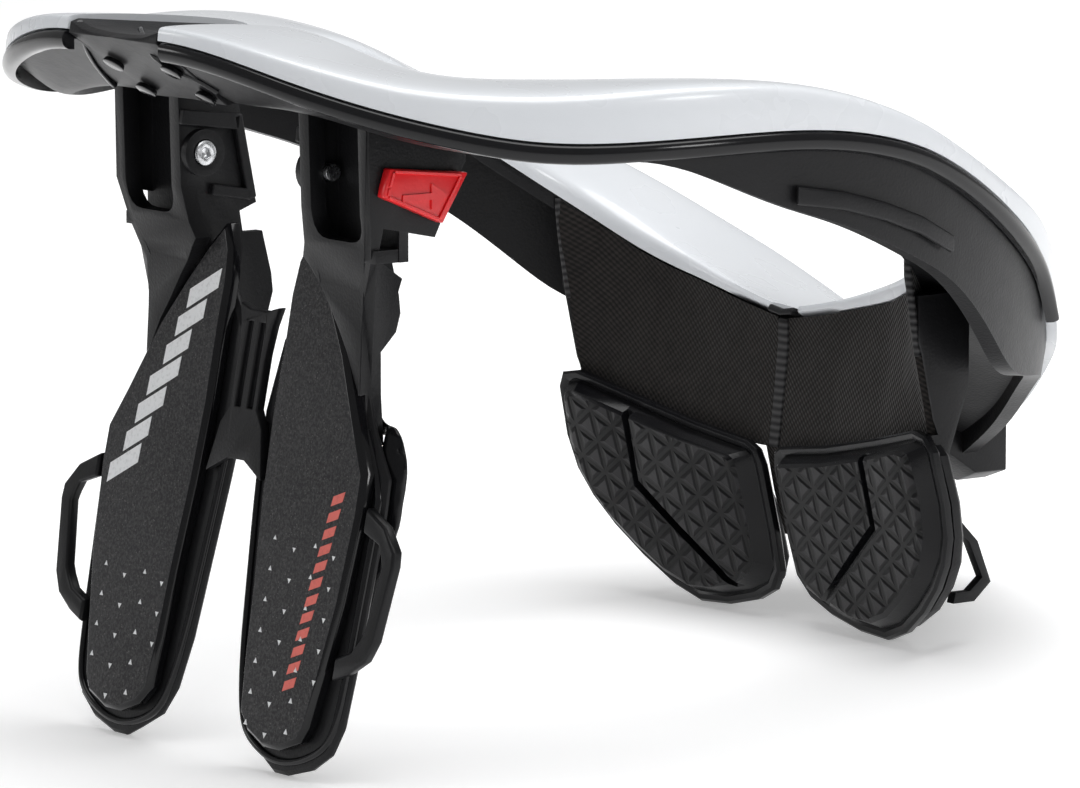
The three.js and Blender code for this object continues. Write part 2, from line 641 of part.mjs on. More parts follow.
function legArm() {
  const top = PANEL_THICK + CLEAR;
  const flange = layered(legOutline(FLANGE_ROWS), [
    { inset: 1.2, deep: top },
    { deep: top + 1.2 },
    { deep: top + FLANGE_THICK - 1 },
    { inset: 1, deep: top + FLANGE_THICK },
  ], legFaceY);
  const wallRings = BRACKET_ROWS.map((row) => {
    const [x0, x1] = [row.medial, row.lateral].map((share) => LEG_APART + share * LEG_WIDE);
    const z = LEG_TOP - row.down * LEG_LONG;
    const y = BRACKET_REAR + row.rear;
    return [[x0, y], [x1, y], [x1, y + row.deep], [x0, y + row.deep]]
      .map(([px, py]) => new THREE.Vector3(px, py, z));
  });
  const flatOf = (ring) => ring.map((p) => [p.x, p.y]);
  const wall = loft(wallRings, flatOf(wallRings[0]), flatOf(wallRings[wallRings.length - 1]));
  const slotHalf = (BRACKET_LATERAL - BRACKET_MEDIAL) / 2 - SLOT_SIDE;
  const middle = (BRACKET_LATERAL + BRACKET_MEDIAL) / 2;
  const slotFoot = -16 - SLOT_DEEP;
  const slotShape = new THREE.Shape();
  slotShape.moveTo(middle - slotHalf, 20);
  slotShape.lineTo(middle - slotHalf, slotFoot + 6);
  slotShape.quadraticCurveTo(middle - slotHalf, slotFoot, middle - slotHalf + 6, slotFoot);
  slotShape.lineTo(middle + slotHalf - 6, slotFoot);
  slotShape.quadraticCurveTo(middle + slotHalf, slotFoot, middle + slotHalf, slotFoot + 6);
  slotShape.lineTo(middle + slotHalf, 20);
  const slot = new THREE.ExtrudeGeometry(slotShape, { depth: 16, bevelEnabled: false, curveSegments: 4 });
  slot.rotateX(Math.PI / 2);
  slot.translate(0, BRACKET_REAR + 12, 0);
  const web = box(BRACKET_MEDIAL + 0.5, BRACKET_LATERAL - 0.5, BRACKET_REAR + 11, BRACKET_REAR + 14,
    slotFoot - 5, 0);
  const floor = box(BRACKET_MEDIAL + 0.5, BRACKET_LATERAL - 1, BRACKET_REAR + 3.5, BRACKET_REAR + 14,
    slotFoot - 5, slotFoot - 1.5);
  const boss = rodAlongX(BOSS_RADIUS, BRACKET_MEDIAL - BOSS_TALL, BRACKET_MEDIAL + 1, BOLT_Y, BOLT_Z, 24);
  const bore = rodAlongX(BOLT_RADIUS + CLEAR, BRACKET_MEDIAL - 10, BRACKET_MEDIAL + 10, BOLT_Y, BOLT_Z);
  const headSeat = rodAlongX(BOLT_HEAD + CLEAR, BRACKET_MEDIAL - 10, BRACKET_MEDIAL - BOSS_TALL + 1.8, BOLT_Y, BOLT_Z);
  const stem = tabStem(CLEAR);
  const keepOut = collarLoft(8, 60, collarKeepOut);
  const keepOutRear = collarLoft(-2, 8.4, collarKeepOut);
  const panelKeepOut = layered(legOutline(PANEL_ROWS), [
    { inset: -CLEAR, deep: -12 },
    { inset: -CLEAR, deep: top },
  ], legFaceY);
  return geometryFrom(largestOf(
    solidOf(flange)
      .add(solidOf(wall).subtract(solidOf(slot)))
      .add(solidOf(followWall(
        sidePlate(LATERAL_PLATE.map(bracketPoint), BRACKET_LATERAL - BRACKET_WALL, BRACKET_LATERAL),
      )))
      .add(solidOf(sidePlate(MEDIAL_PLATE.map(bracketPoint), BRACKET_MEDIAL, BRACKET_MEDIAL + BRACKET_WALL)))
      .add(solidOf(web))
      .add(solidOf(floor))
      .add(solidOf(boss))
      .subtract(solidOf(bore))
      .subtract(solidOf(headSeat))
      .subtract(solidOf(stem))
      .subtract(solidOf(panelKeepOut))
      .subtract(solidOf(keepOut))
      .subtract(solidOf(keepOutRear)),
  ));
}

function legBolt() {
  const headFace = BRACKET_MEDIAL - BOSS_TALL - 0.4;
  const head = rodAlongX(BOLT_HEAD, headFace, BRACKET_MEDIAL - BOSS_TALL + 1.5, BOLT_Y, BOLT_Z);
  const shank = rodAlongX(BOLT_RADIUS, headFace + 0.5, BRACKET_MEDIAL + BRACKET_WALL + 3, BOLT_Y, BOLT_Z);
  const socket = rodAlongX(BOLT_HEAD * 0.45, headFace - 1, headFace + 1.1, BOLT_Y, BOLT_Z, 6);
  return geometryFrom(solidOf(head).add(solidOf(shank)).subtract(solidOf(socket)));
}

function tabStem(spare) {
  const middleY = BRACKET_REAR + 20;
  const middleZ = LEG_TOP + 15.5;
  const half = TAB_STEM / 2 + spare;
  return box(BRACKET_LATERAL - BRACKET_WALL - TAB_REACH - spare, BRACKET_LATERAL + 1,
    middleY - half * 1.3, middleY + half * 1.3, middleZ - half, middleZ + half);
}

function pullTab() {
  const start = BRACKET_LATERAL + CLEAR;
  const outline = TAB_OUTLINE.map(bracketPoint);
  const plate = sidePlate(outline, start, start + TAB_THICK);
  const stem = tabStem(0);
  return geometryFrom(solidOf(plate).add(solidOf(stem)));
}

// Loop for a strap: an open frame whose two feet point to the leg's centre line.
function legLoop() {
  const foot = LEG_APART + 0.4 * LEG_WIDE + 1.6;
  const far = foot + LOOP_REACH;
  const low = LOOP_TOP - LOOP_TALL;
  const outer = [
    [foot, LOOP_TOP], [foot + 0.6 * LOOP_REACH, LOOP_TOP - 4], [far - 0.5, LOOP_TOP - 10], [far, LOOP_TOP - 14],
    [far - 3, low + 12], [far - 6, low + 6.5], [foot + 0.2 * LOOP_REACH, low + 2.5], [foot - 3.4, low],
  ];
  const inner = [
    [foot - 3.4, low + LOOP_BAR + 1], [foot + 0.2 * LOOP_REACH, low + LOOP_BAR + 3.5],
    [far - 6 - LOOP_BAR * 0.7, low + 12], [far - 8, low + 14.5],
    [far - LOOP_BAR, LOOP_TOP - 14.5], [far - LOOP_BAR - 1, LOOP_TOP - 12],
    [foot + 0.5 * LOOP_REACH, LOOP_TOP - 4 - LOOP_BAR], [foot, LOOP_TOP - LOOP_BAR - 1.5],
  ];
  const deep = PANEL_THICK - LOOP_THICK;
  return layered([...outer, ...inner], [
    { inset: 0.5, deep },
    { deep: deep + 0.6 },
    { deep: deep + LOOP_THICK - 0.6 },
    { inset: 0.5, deep: deep + LOOP_THICK },
  ], legFaceY);
}

function spineWeb() {
  const z = (share) => WEB_TOP - share * WEB_TALL;
  const right = WEB_ROWS.map((row) => [row.half, z(row.down)]);
  const left = WEB_ROWS.map((row) => [-row.half, z(row.down)]).reverse();
  const half = WEB_ROWS[WEB_ROWS.length - 1].half;
  const outline = [
    ...right,
    [half * 0.3, z(1) + WEB_NOTCH],
    [-half * 0.3, z(1) + WEB_NOTCH],
    ...left,
    [-WEB_ROWS[0].half * 0.4, z(0) - 1.5],
    [WEB_ROWS[0].half * 0.4, z(0) - 1.5],
  ];
  const back = PANEL_THICK;
  const plate = solidOf(layered(outline, [{ deep: back - WEB_THICK }, { deep: back }], legFaceY));
  const groove = (middle) => solidOf(layered([
    [middle - WEB_GROOVE / 2, z(0.1)], [middle + WEB_GROOVE / 2, z(0.1)],
    [middle + WEB_GROOVE / 2, z(0.6)], [middle - WEB_GROOVE / 2, z(0.6)],
  ], [{ deep: back - WEB_THICK - 2 }, { deep: back - WEB_THICK * 0.45 }], legFaceY));
  return geometryFrom(plate.subtract(groove(-WEB_APART)).subtract(groove(WEB_APART)));
}

// Chest pieces. The chest face wraps back at the sides and leans forward below the pads' top.
function chestFaceY(x, z) {
  const below = Math.max(CHEST_TOP - z, 0);
  return CHEST_Y - CHEST_WRAP * (x / COLLAR_SIDE / 0.6) ** 2 + below * Math.tan(radians(CHEST_LEAN));
}

function chestPoint([across, down]) {
  return [across * CHEST_WIDE, CHEST_TOP - down * CHEST_TALL];
}

function chestPad() {
  const outline = CHEST_OUTLINE.map(chestPoint);
  const body = solidOf(layered(outline, [
    { inset: 1, deep: CHEST_PAD_BACK },
    { deep: CHEST_PAD_BACK - 1 },
    { deep: 0 },
    { inset: 0.8, deep: -0.8 },
    { inset: 2.2, deep: -0.6 },
    { inset: 3, deep: 0 },
    { inset: 3, shrink: 0.92, deep: -CHEST_PAD_PROUD * 0.85 },
    { inset: 3, shrink: 0.87, deep: -CHEST_PAD_PROUD },
  ], chestFaceY));
  const path = CHEST_GROOVE.map(chestPoint);
  const half = GROOVE_WIDE / 2;
  const sideOf = (sign) => path.map(([x, z], i) => {
    const [px, pz] = path[Math.max(i - 1, 0)];
    const [nx, nz] = path[Math.min(i + 1, path.length - 1)];
    const along = new THREE.Vector2(nx - px, nz - pz).normalize();
    return [x - along.y * half * sign, z + along.x * half * sign];
  });
  const groove = solidOf(layered([...sideOf(1), ...sideOf(-1).reverse()], [
    { deep: -CHEST_PAD_PROUD - 3 },
    { deep: -CHEST_PAD_PROUD + GROOVE_DEEP },
  ], chestFaceY));
  return geometryFrom(body.subtract(groove));
}

// Plate behind a chest pad, with the hanger that joins it to the front of the chassis.
function chestPlate() {
  const start = CHEST_PAD_BACK + CLEAR;
  const plate = solidOf(layered(PLATE_OUTLINE.map(chestPoint), [
    { deep: start - 1 },
    { deep: start + CHEST_PLATE_THICK - 1 },
    { inset: 0.8, deep: start + CHEST_PLATE_THICK },
  ], chestFaceY));
  const back = CHEST_Y - 2;
  const hanger = solidOf(sidePlate([
    [back - 1, CHEST_TOP - HANGER_FOOT], [back + 5, CHEST_TOP - HANGER_FOOT],
    [back + HANGER_DEEP, CHEST_TOP + 12], [back + HANGER_DEEP, CHEST_TOP + HANGER_TALL],
    [back - 5, CHEST_TOP + HANGER_TALL], [back - 5, CHEST_TOP],
  ], HANGER_X, HANGER_X + HANGER_WIDE));
  const padKeepOut = solidOf(layered(CHEST_OUTLINE.map(chestPoint), [
    { inset: -CLEAR, deep: -12 },
    { inset: -CLEAR, deep: CHEST_PAD_BACK - 1 + CLEAR * 1.5 },
    { inset: 1, deep: start },
  ], chestFaceY));
  return geometryFrom(largestOf(plate.add(hanger).subtract(padKeepOut)
    .subtract(solidOf(fabricLoft(-INNER_INSET, 14, FABRIC_START - COLLAR_STEP * 2)))
    .subtract(solidOf(collarLoft(100, 174, collarKeepOut)))));
}

function chestLoop() {
  const back = CHEST_PAD_BACK + CLEAR + CHEST_PLATE_THICK + CLEAR;
  const high = CHEST_LOOP_Z + CHEST_LOOP_TALL / 2;
  const low = CHEST_LOOP_Z - CHEST_LOOP_TALL / 2;
  const yHigh = chestFaceY(CHEST_LOOP_X, high) + back;
  const yLow = chestFaceY(CHEST_LOOP_X, low) + back;
  const bar = 3;
  const outline = [
    [yHigh, high], [yHigh + 0.6 * CHEST_LOOP_REACH, high - 3], [yHigh + CHEST_LOOP_REACH, high - 9],
    [yLow + CHEST_LOOP_REACH * 0.9, low + 5], [yLow + 0.5 * CHEST_LOOP_REACH, low], [yLow, low],
    [yLow + 0.8, low + bar], [yLow + 0.5 * CHEST_LOOP_REACH - 1.5, low + bar], [yLow + CHEST_LOOP_REACH * 0.9 - bar, low + 6.5],
    [yHigh + CHEST_LOOP_REACH - bar, high - 9], [yHigh + 0.6 * CHEST_LOOP_REACH - 2, high - 3 - bar * 0.8], [yHigh, high - bar],
  ];
  const plateKeepOut = layered(PLATE_OUTLINE.map(chestPoint), [
    { deep: -12 },
    { deep: back },
  ], chestFaceY);
  return geometryFrom(solidOf(sidePlate(outline, CHEST_LOOP_X - 1.5, CHEST_LOOP_X + 1.5))
    .subtract(solidOf(plateKeepOut)));
}

// Right fabric panel: it hangs just inside the opening's wall and ends behind the chest pad's top edge.
function chestFabric() {
  return fabricLoft(CLEAR - INNER_INSET, CLEAR - INNER_INSET + FABRIC_THICK, FABRIC_START);
}

// Points down the fabric at one bearing, at a distance inwards from the opening's wall. Its foot
// is tucked behind the pad's top edge.
function fabricColumn(s, inset) {
  const table = CHEST_OUTLINE.slice(0, 4).map(([across, down]) => ({ across, down }));
  const inward = s.inner.clone().sub(s.outer).normalize();
  const share = THREE.MathUtils.clamp(s.inner.x / CHEST_WIDE, 0.09, 0.9);
  const foot = CHEST_TOP - columnAt(table, 'across', share, 'down') * CHEST_TALL - FABRIC_TUCK;
  const under = s.bandFoot - CHASSIS_PLATE - 3;
  const high = Math.min(s.bandFoot, s.bottomAt(s.wide + inset)) - CLEAR * 2;
  const top = s.inner.clone().addScaledVector(inward, inset);
  const footY = chestFaceY(top.x, foot) + CHEST_PAD_BACK + CLEAR * 2 - inset;
  return [
    new THREE.Vector3(top.x, top.y, high),
    new THREE.Vector3(top.x, top.y, under),
    new THREE.Vector3(top.x, lerp(top.y, footY, 0.45), lerp(under, foot, 0.5)),
    new THREE.Vector3(top.x, footY, foot),
  ];
}

// Solid between two distances inwards from the opening's wall, with the fabric's edges.
function fabricLoft(from, to, first) {
  const last = bearingOfOpening(SEAM_WIDE / 2 + CLEAR);
  const rings = bearingsBetween(first, last, COLLAR_STEP).map((bearing) => {
    const s = collarSection(bearing);
    return [...fabricColumn(s, from), ...fabricColumn(s, to).reverse()];
  });
  const flat = (ring) => ring.map((p) => [p.y, p.z]);
  return loft(rings, flat(rings[0]), flat(rings[rings.length - 1]));
}

// Bearing at which the opening's outline is x away from the middle, in front.
function bearingOfOpening(x) {
  let [low, high] = [110, 180];
  for (let i = 0; i < 40; i += 1) {
    const middle = (low + high) / 2;
    if (innerPoint(middle).x > x) low = middle;
    else high = middle;
  }
  return (low + high) / 2;
}

function chestSeam() {
  const s = collarSection(180);
  const half = SEAM_WIDE / 2;
  const near = fabricColumn(s, CLEAR - INNER_INSET + FABRIC_THICK + SEAM_PROUD);
  const far = fabricColumn(s, CLEAR - INNER_INSET);
  const rings = near.map((p, i) => [
    [-half, p.y], [half, p.y], [half, far[i].y], [-half, far[i].y],
  ].map(([px, py]) => new THREE.Vector3(px, py, p.z)));
  const flat = (r) => r.map((p) => [p.x, p.y]);
  return loft(rings, flat(rings[0]), flat(rings[rings.length - 1]));
}

// Screw head on the tucked rear face of the bridge.
function rearScrew(bearing, share) {
  const s = collarSection(bearing);
  const high = s.faceFoot - 1;
  const low = s.skirtFoot - 0.3;
  const deep = lerp(0, s.tuck - 0.5, share);
  const [point] = ringOf(s, [[deep, lerp(high, low, share)]]);
  const slope = Math.atan2(high - low, s.tuck);
  const geometry = new THREE.CylinderGeometry(2.9, 3.2, 1.4, 16);
  geometry.rotateX(Math.PI / 2 - slope);
  const out = new THREE.Vector3(0, -Math.sin(slope), -Math.cos(slope));
  geometry.translate(point.x, point.y, point.z);
  geometry.translate(0, out.y * (0.7 + CLEAR), out.z * (0.7 + CLEAR));
  return geometry;
}

const FINISHES = {
  shell: { color: 0xf1f3f5, roughness: 0.3, metalness: 0 },
  gloss: { color: 0x0c0c0d, roughness: 0.22, metalness: 0 },
  moulding: { color: 0x151517, roughness: 0.5, metalness: 0 },
  panel: { color: 0x1b1b1d, roughness: 0.8, metalness: 0 },
  rubber: { color: 0x121214, roughness: 0.55, metalness: 0 },
  fabric: { color: 0x17161a, roughness: 0.95, metalness: 0 },
  red: { color: 0xe2231c, roughness: 0.4, metalness: 0 },
  steel: { color: 0xb9bcc0, roughness: 0.3, metalness: 1 },
};

const group = new THREE.Group();
const brace = new THREE.Group();
group.add(brace);

function addPiece(name, geometry, finish) {
  const mesh = new THREE.Mesh(geometry, new THREE.MeshStandardMaterial(FINISHES[finish]));
  mesh.name = name;
  brace.add(mesh);
}

function addPair(name, geometry, finish) {
  addPiece(`${name}_right`, geometry, finish);
  addPiece(`${name}_left`, mirrored(geometry), finish);
}

const halfStart = BRIDGE_HALF_ANGLE + 0.25;
const halfEnd = 180 - LATCH_HALF_ANGLE - 0.25;
addPair('collar_pad', collarLoft(halfStart, halfEnd, padOutline), 'shell');
addPair('collar_rim', collarLoft(RIM_START, RIM_END, rimOutline), 'gloss');
addPair('chassis', collarLoft(halfStart, halfEnd, chassisOutline), 'moulding');
addPair('side_bar', collarLoft(BAR_START, BAR_END, barOutline), 'moulding');
addPiece('rear_bridge', collarLoft(-BRIDGE_HALF_ANGLE, BRIDGE_HALF_ANGLE, bridgeOutline, 2), 'gloss');
addPiece('front_latch', collarLoft(180 - LATCH_HALF_ANGLE, 180 + LATCH_HALF_ANGLE, latchOutline, 3), 'moulding');
addPair('rear_screw_upper', rearScrew(5.9, 0.42), 'moulding');
addPair('rear_screw_lower', rearScrew(6.6, 0.84), 'moulding');
addPair('leg_arm', legArm(), 'moulding');
addPair('leg_panel', legPanel(), 'panel');
addPair('leg_pad', legPad(), 'rubber');
addPair('leg_bolt', legBolt(), 'steel');
addPair('pull_tab', pullTab(), 'red');
addPair('leg_loop', legLoop(), 'moulding');
addPiece('spine_web', spineWeb(), 'moulding');
addPair('chest_fabric', chestFabric(), 'fabric');
addPiece('chest_seam', chestSeam(), 'fabric');
addPair('chest_pad', chestPad(), 'rubber');
addPair('chest_plate', chestPlate(), 'moulding');
addPair('chest_loop', chestLoop(), 'moulding');

// Pitch that brings the legs' tips and the chest pads' tips to one level.
function lowestOf(name) {
  const mesh = brace.getObjectByName(name);
  const p = mesh.geometry.getAttribute('position');
  let best = new THREE.Vector3(0, 0, Infinity);
  for (let i = 0; i < p.count; i += 1) {
    const point = new THREE.Vector3().fromBufferAttribute(p, i);
    if (point.z < best.z) best = point;
  }
  return best;
}
const rearTip = lowestOf('leg_arm_right');
const chestTip = lowestOf('chest_pad_right');
brace.rotation.x = -Math.atan2(chestTip.z - rearTip.z, chestTip.y - rearTip.y);
brace.updateMatrixWorld(true);
const bounds = new THREE.Box3().setFromObject(brace, true);
brace.position.set(0, -(bounds.min.y + bounds.max.y) / 2, -bounds.min.z);

export default group;
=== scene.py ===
import math

import bpy
from mathutils import Matrix, Vector, noise
from mathutils.bvhtree import BVHTree


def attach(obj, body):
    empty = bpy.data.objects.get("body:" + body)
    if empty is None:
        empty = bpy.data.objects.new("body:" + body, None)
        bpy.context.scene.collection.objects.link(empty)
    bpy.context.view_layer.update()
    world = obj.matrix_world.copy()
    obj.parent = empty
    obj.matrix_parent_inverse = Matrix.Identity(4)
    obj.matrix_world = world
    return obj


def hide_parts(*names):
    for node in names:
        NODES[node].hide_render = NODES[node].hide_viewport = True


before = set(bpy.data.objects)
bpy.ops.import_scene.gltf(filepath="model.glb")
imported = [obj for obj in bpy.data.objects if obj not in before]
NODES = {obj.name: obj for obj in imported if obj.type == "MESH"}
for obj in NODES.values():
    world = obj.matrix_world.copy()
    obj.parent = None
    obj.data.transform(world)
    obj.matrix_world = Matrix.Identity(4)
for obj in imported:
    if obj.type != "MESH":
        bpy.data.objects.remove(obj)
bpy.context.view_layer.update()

bl_info = {
    "name": "Motocross Neck Brace",
    "version": (1, 0, 0),
    "blender": (4, 5, 0),
    "location": "View3D > Sidebar > Neck Brace",
    "description": "Dresses the fixed frame of a motocross neck brace with its finished pieces",
    "category": "Object",
}

SIDES = ("right", "left")

# The brace as worn is pitched on the floor by this turn about X and this lift, in metres.
PITCH = math.radians(-4.3504575)
LIFT = Vector((0.0, -0.0044191, 0.1838579))
# How far the legs and the chest pads lean from upright.
LEG_LEAN = math.radians(11.5)
CHEST_LEAN = math.radians(13.8)

# Sizes of the worn brace, in millimetres.
LEG_X = 38.5
LEG_TOP = -52
LEG_LONG = 141
LEG_WIDE = 57
LEG_BACK_Y = -102
BOLT_FRAME_X = 28.4
TAB_FACE_X = 63
FIELD_PROUD = 5
# Rays at the legs' outer faces start at this y.
RAY_START_Y = -250

# Angle in degrees over which an edge of a copied node stays sharp.
SHARP = 38
# How deep in metres a printed mark is sunk in its panel.
INK_SINK = 0.00003

# The camera's picture in pixels, its lens in millimetres and its place.
PHOTO_WIDE, PHOTO_TALL = 1080, 788
CAMERA_LENS = 276
CAMERA_SENSOR = 36
CAMERA = Matrix((
    (0.6018, -0.1111, 0.7909, 1.8191),
    (0.7963, 0.1587, -0.5837, -1.3549),
    (-0.0606, 0.9811, 0.1840, 0.5030),
    (0, 0, 0, 1),
))

STANDING = Matrix.Translation(LIFT) @ Matrix.Rotation(PITCH, 4, "X")


def worn(x, y, z):
    """A point of the worn brace in millimetres, as a point of the scene in metres."""
    return STANDING @ Vector((x / 1000, y / 1000, z / 1000))


def chest_face_y(x, z):
    """How far forward the chest pads' rim face lies in the worn brace, in millimetres."""
    return 76.4 - 5.6 * (x / 79.8) ** 2 + max(-112 - z, 0) * math.tan(CHEST_LEAN)


def clear_selection():
    """Leaves edit mode and selects nothing."""
    if bpy.context.object and bpy.context.object.mode != "OBJECT":
        bpy.ops.object.mode_set(mode="OBJECT")
    bpy.ops.object.select_all(action="DESELECT")


def select_only(obj):
    clear_selection()
    obj.select_set(True)
    bpy.context.view_layer.objects.active = obj


def in_edit_mode(obj, *steps):
    """Runs edit-mode steps on all of an object's mesh."""
    select_only(obj)
    bpy.ops.object.mode_set(mode="EDIT")
    bpy.ops.mesh.select_all(action="SELECT")
    for step in steps:
        step()
    bpy.ops.object.mode_set(mode="OBJECT")


def apply_modifier(obj, kind, **settings):
    """Adds a modifier with its settings and applies it."""
    select_only(obj)
    modifier = obj.modifiers.new(kind.lower(), kind)
    for key, value in settings.items():
        setattr(modifier, key, value)
    bpy.ops.object.modifier_apply(modifier=modifier.name)


def smooth(obj, degrees):
    select_only(obj)
    bpy.ops.object.shade_smooth_by_angle(angle=math.radians(degrees))


def copy_of_node(node_name, name):
    """A merged copy of a CAD node's mesh in an object of its own, with its triangles paired."""
    node = NODES[node_name]
    mesh = node.data.copy()
    mesh.name = name
    obj = bpy.data.objects.new(name, mesh)
    bpy.context.scene.collection.objects.link(obj)
    in_edit_mode(
        obj,
        lambda: bpy.ops.mesh.remove_doubles(threshold=0.00001),
        lambda: bpy.ops.mesh.tris_convert_to_quads(
            face_threshold=math.radians(14), shape_threshold=math.radians(70)
        ),
    )
    if mesh.has_custom_normals:
        select_only(obj)
        bpy.ops.mesh.customdata_custom_splitnormals_clear()
    return obj


def crease_sharp_edges(obj, degrees):
    """Creases the edges that turn by more than an angle, for a later subdivision surface."""
    mesh = obj.data
    faces_of = {}
    for face in mesh.polygons:
        for key in face.edge_keys:
            faces_of.setdefault(key, []).append(face.normal)
    layer = mesh.attributes.get("crease_edge")
    if layer is None:
        layer = mesh.attributes.new("crease_edge", "FLOAT", "EDGE")
    for edge in mesh.edges:
        normals = faces_of.get(edge.key, [])
        turned = len(normals) == 2 and normals[0].angle(normals[1], 0) > math.radians(degrees)
        layer.data[edge.index].value = 1.0 if turned else 0.0


def rounded_copy(node_name, name, body, material, width=0.0004, segments=2, angle=32):
    """A copy of a hard node with its edges rounded."""
    obj = copy_of_node(node_name, name)
    apply_modifier(
        obj, "BEVEL", width=width, segments=segments, limit_method="ANGLE",
        angle_limit=math.radians(angle), use_clamp_overlap=True,
    )
    smooth(obj, SHARP)
    finish_piece(obj, body, material)
    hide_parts(node_name)
    return obj


def flowing_copy(node_name, name, body, material, crease):
    """A copy of a swept node, subdivided so that its long curves flow."""
    obj = copy_of_node(node_name, name)
    crease_sharp_edges(obj, crease)
    apply_modifier(obj, "SUBSURF", levels=2, render_levels=2)
    smooth(obj, SHARP)
    finish_piece(obj, body, material)
    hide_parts(node_name)
    return obj


def finish_piece(obj, body, material):
    """Gives a piece its material and the body that it rides on."""
    obj.data.materials.clear()
    obj.data.materials.append(material)
    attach(obj, body)


def surface_of(node_name):
    """A CAD node's surface as a tree that rays can be cast at."""
    mesh = NODES[node_name].data
    return BVHTree.FromPolygons(
        [v.co.copy() for v in mesh.vertices], [list(p.vertices) for p in mesh.polygons]
    )


def hit_from(tree, start, towards):
    place, normal, _, _ = tree.ray_cast(start, (towards - start).normalized())
    return place, normal


def seen_at(trees, across, down):
    """The nearest place on some surfaces that the camera sees at a point of the picture's frame."""
    focal = CAMERA_LENS / CAMERA_SENSOR * PHOTO_WIDE
    ray = Vector(((across - PHOTO_WIDE / 2) / focal, (PHOTO_TALL / 2 - down) / focal, -1.0))
    direction = (CAMERA.to_3x3() @ ray).normalized()
    start = CAMERA.translation
    hits = [tree.ray_cast(start, direction) for tree in trees]
    hits = [(hit[3], hit[0]) for hit in hits if hit[0] is not None]
    return min(hits, key=lambda hit: hit[0])[1] if hits else None


def bead_along(name, points, radius):
    """A smooth bead with capped ends along points, as a mesh."""
    curve = bpy.data.curves.new(name, "CURVE")
    curve.dimensions = "3D"
    curve.bevel_depth = radius
    curve.bevel_resolution = 3
    curve.use_fill_caps = True
    curve.resolution_u = 8
    spline = curve.splines.new("NURBS")
    spline.points.add(len(points) - 1)
    for point, place in zip(spline.points, points):
        point.co = (*place, 1)
    spline.order_u = min(3, len(points))
    spline.use_endpoint_u = True
    obj = bpy.data.objects.new(name, curve)
    bpy.context.scene.collection.objects.link(obj)
    select_only(obj)
    bpy.ops.object.convert(target="MESH")
    obj = bpy.context.object
    in_edit_mode(
        obj,
        lambda: bpy.ops.mesh.remove_doubles(threshold=0.000005),
        lambda: bpy.ops.mesh.normals_make_consistent(inside=False),
    )
    smooth(obj, 60)
    return obj


def join_pieces(pieces, name):
    """Joins pieces into the first one and names it."""
    clear_selection()
    for piece in pieces:
        piece.select_set(True)
    bpy.context.view_layer.objects.active = pieces[0]
    if len(pieces) > 1:
        bpy.ops.object.join()
    pieces[0].name = name
    pieces[0].data.name = name
    return pieces[0]


def place_piece(obj, matrix):
    """Puts a piece modelled at the origin in its place, with the place kept in its mesh."""
    obj.matrix_world = matrix
    select_only(obj)
    bpy.ops.object.transform_apply(location=True, rotation=True, scale=True)


def outline_plate(name, outline, thick, bevel=0.0):
    """A flat plate of an outline in its own XY plane, raised by extruding, with its top edge bevelled."""
    bpy.ops.mesh.primitive_circle_add(vertices=len(outline), radius=0.01, fill_type="NGON")
    obj = bpy.context.object
    obj.name = name
    for vertex, (x, y) in zip(obj.data.vertices, outline):
        vertex.co = (x, y, 0)
    in_edit_mode(
        obj,
        lambda: bpy.ops.mesh.normals_make_consistent(inside=False),
        lambda: bpy.ops.mesh.extrude_region_move(TRANSFORM_OT_translate={"value": (0, 0, thick)}),
        lambda: bpy.ops.mesh.select_all(action="SELECT"),
        lambda: bpy.ops.mesh.normals_make_consistent(inside=False),
    )
    if bevel:
        apply_modifier(
            obj, "BEVEL", width=bevel, segments=2, limit_method="ANGLE",
            angle_limit=math.radians(50),
        )
    return obj


def strip_corners(start, end, wide, trim=0.0):
    """The corners in metres of a straight strip between two points in millimetres."""
    along = (Vector(end) - Vector(start)).normalized()
    across = Vector((-along.y, along.x)) * wide / 2
    start, end = Vector(start) + along * trim, Vector(end) - along * trim
    corners = (start - across, end - across, end + across, start + across)
    return [(corner.x / 1000, corner.y / 1000) for corner in corners]


def beside_bracket(x, facing):
    """The place of a plate drawn in y and z of a leg bracket, at an x and facing along X."""
    return STANDING @ Matrix((
        (0, 0, facing, x / 1000),
        (1, 0, 0, LEG_BACK_Y / 1000),
        (0, 1, 0, LEG_TOP / 1000),
        (0, 0, 0, 1),
    ))


class Wire:
    """A socket of a material's nodes, with arithmetic that adds Math nodes."""

    def __init__(self, finish, socket):
        self.finish = finish
        self.socket = socket

    def math(self, operation, *others):
        node = self.finish.node("ShaderNodeMath", {"operation": operation})
        for place, value in enumerate((self, *others)):
            self.finish.feed(node.inputs[place], value)
        return Wire(self.finish, node.outputs[0])

    def __add__(self, other):
        return self.math("ADD", other)

    def __radd__(self, other):
        return self.math("ADD", other)

    def __mul__(self, other):
        return self.math("MULTIPLY", other)

    def __rmul__(self, other):
        return self.math("MULTIPLY", other)

    def __sub__(self, other):
        return self.math("SUBTRACT", other)

    def __rsub__(self, other):
        return (self * -1).math("ADD", other)

    def __lt__(self, other):
        return self.math("LESS_THAN", other)

    def __gt__(self, other):
        return self.math("GREATER_THAN", other)


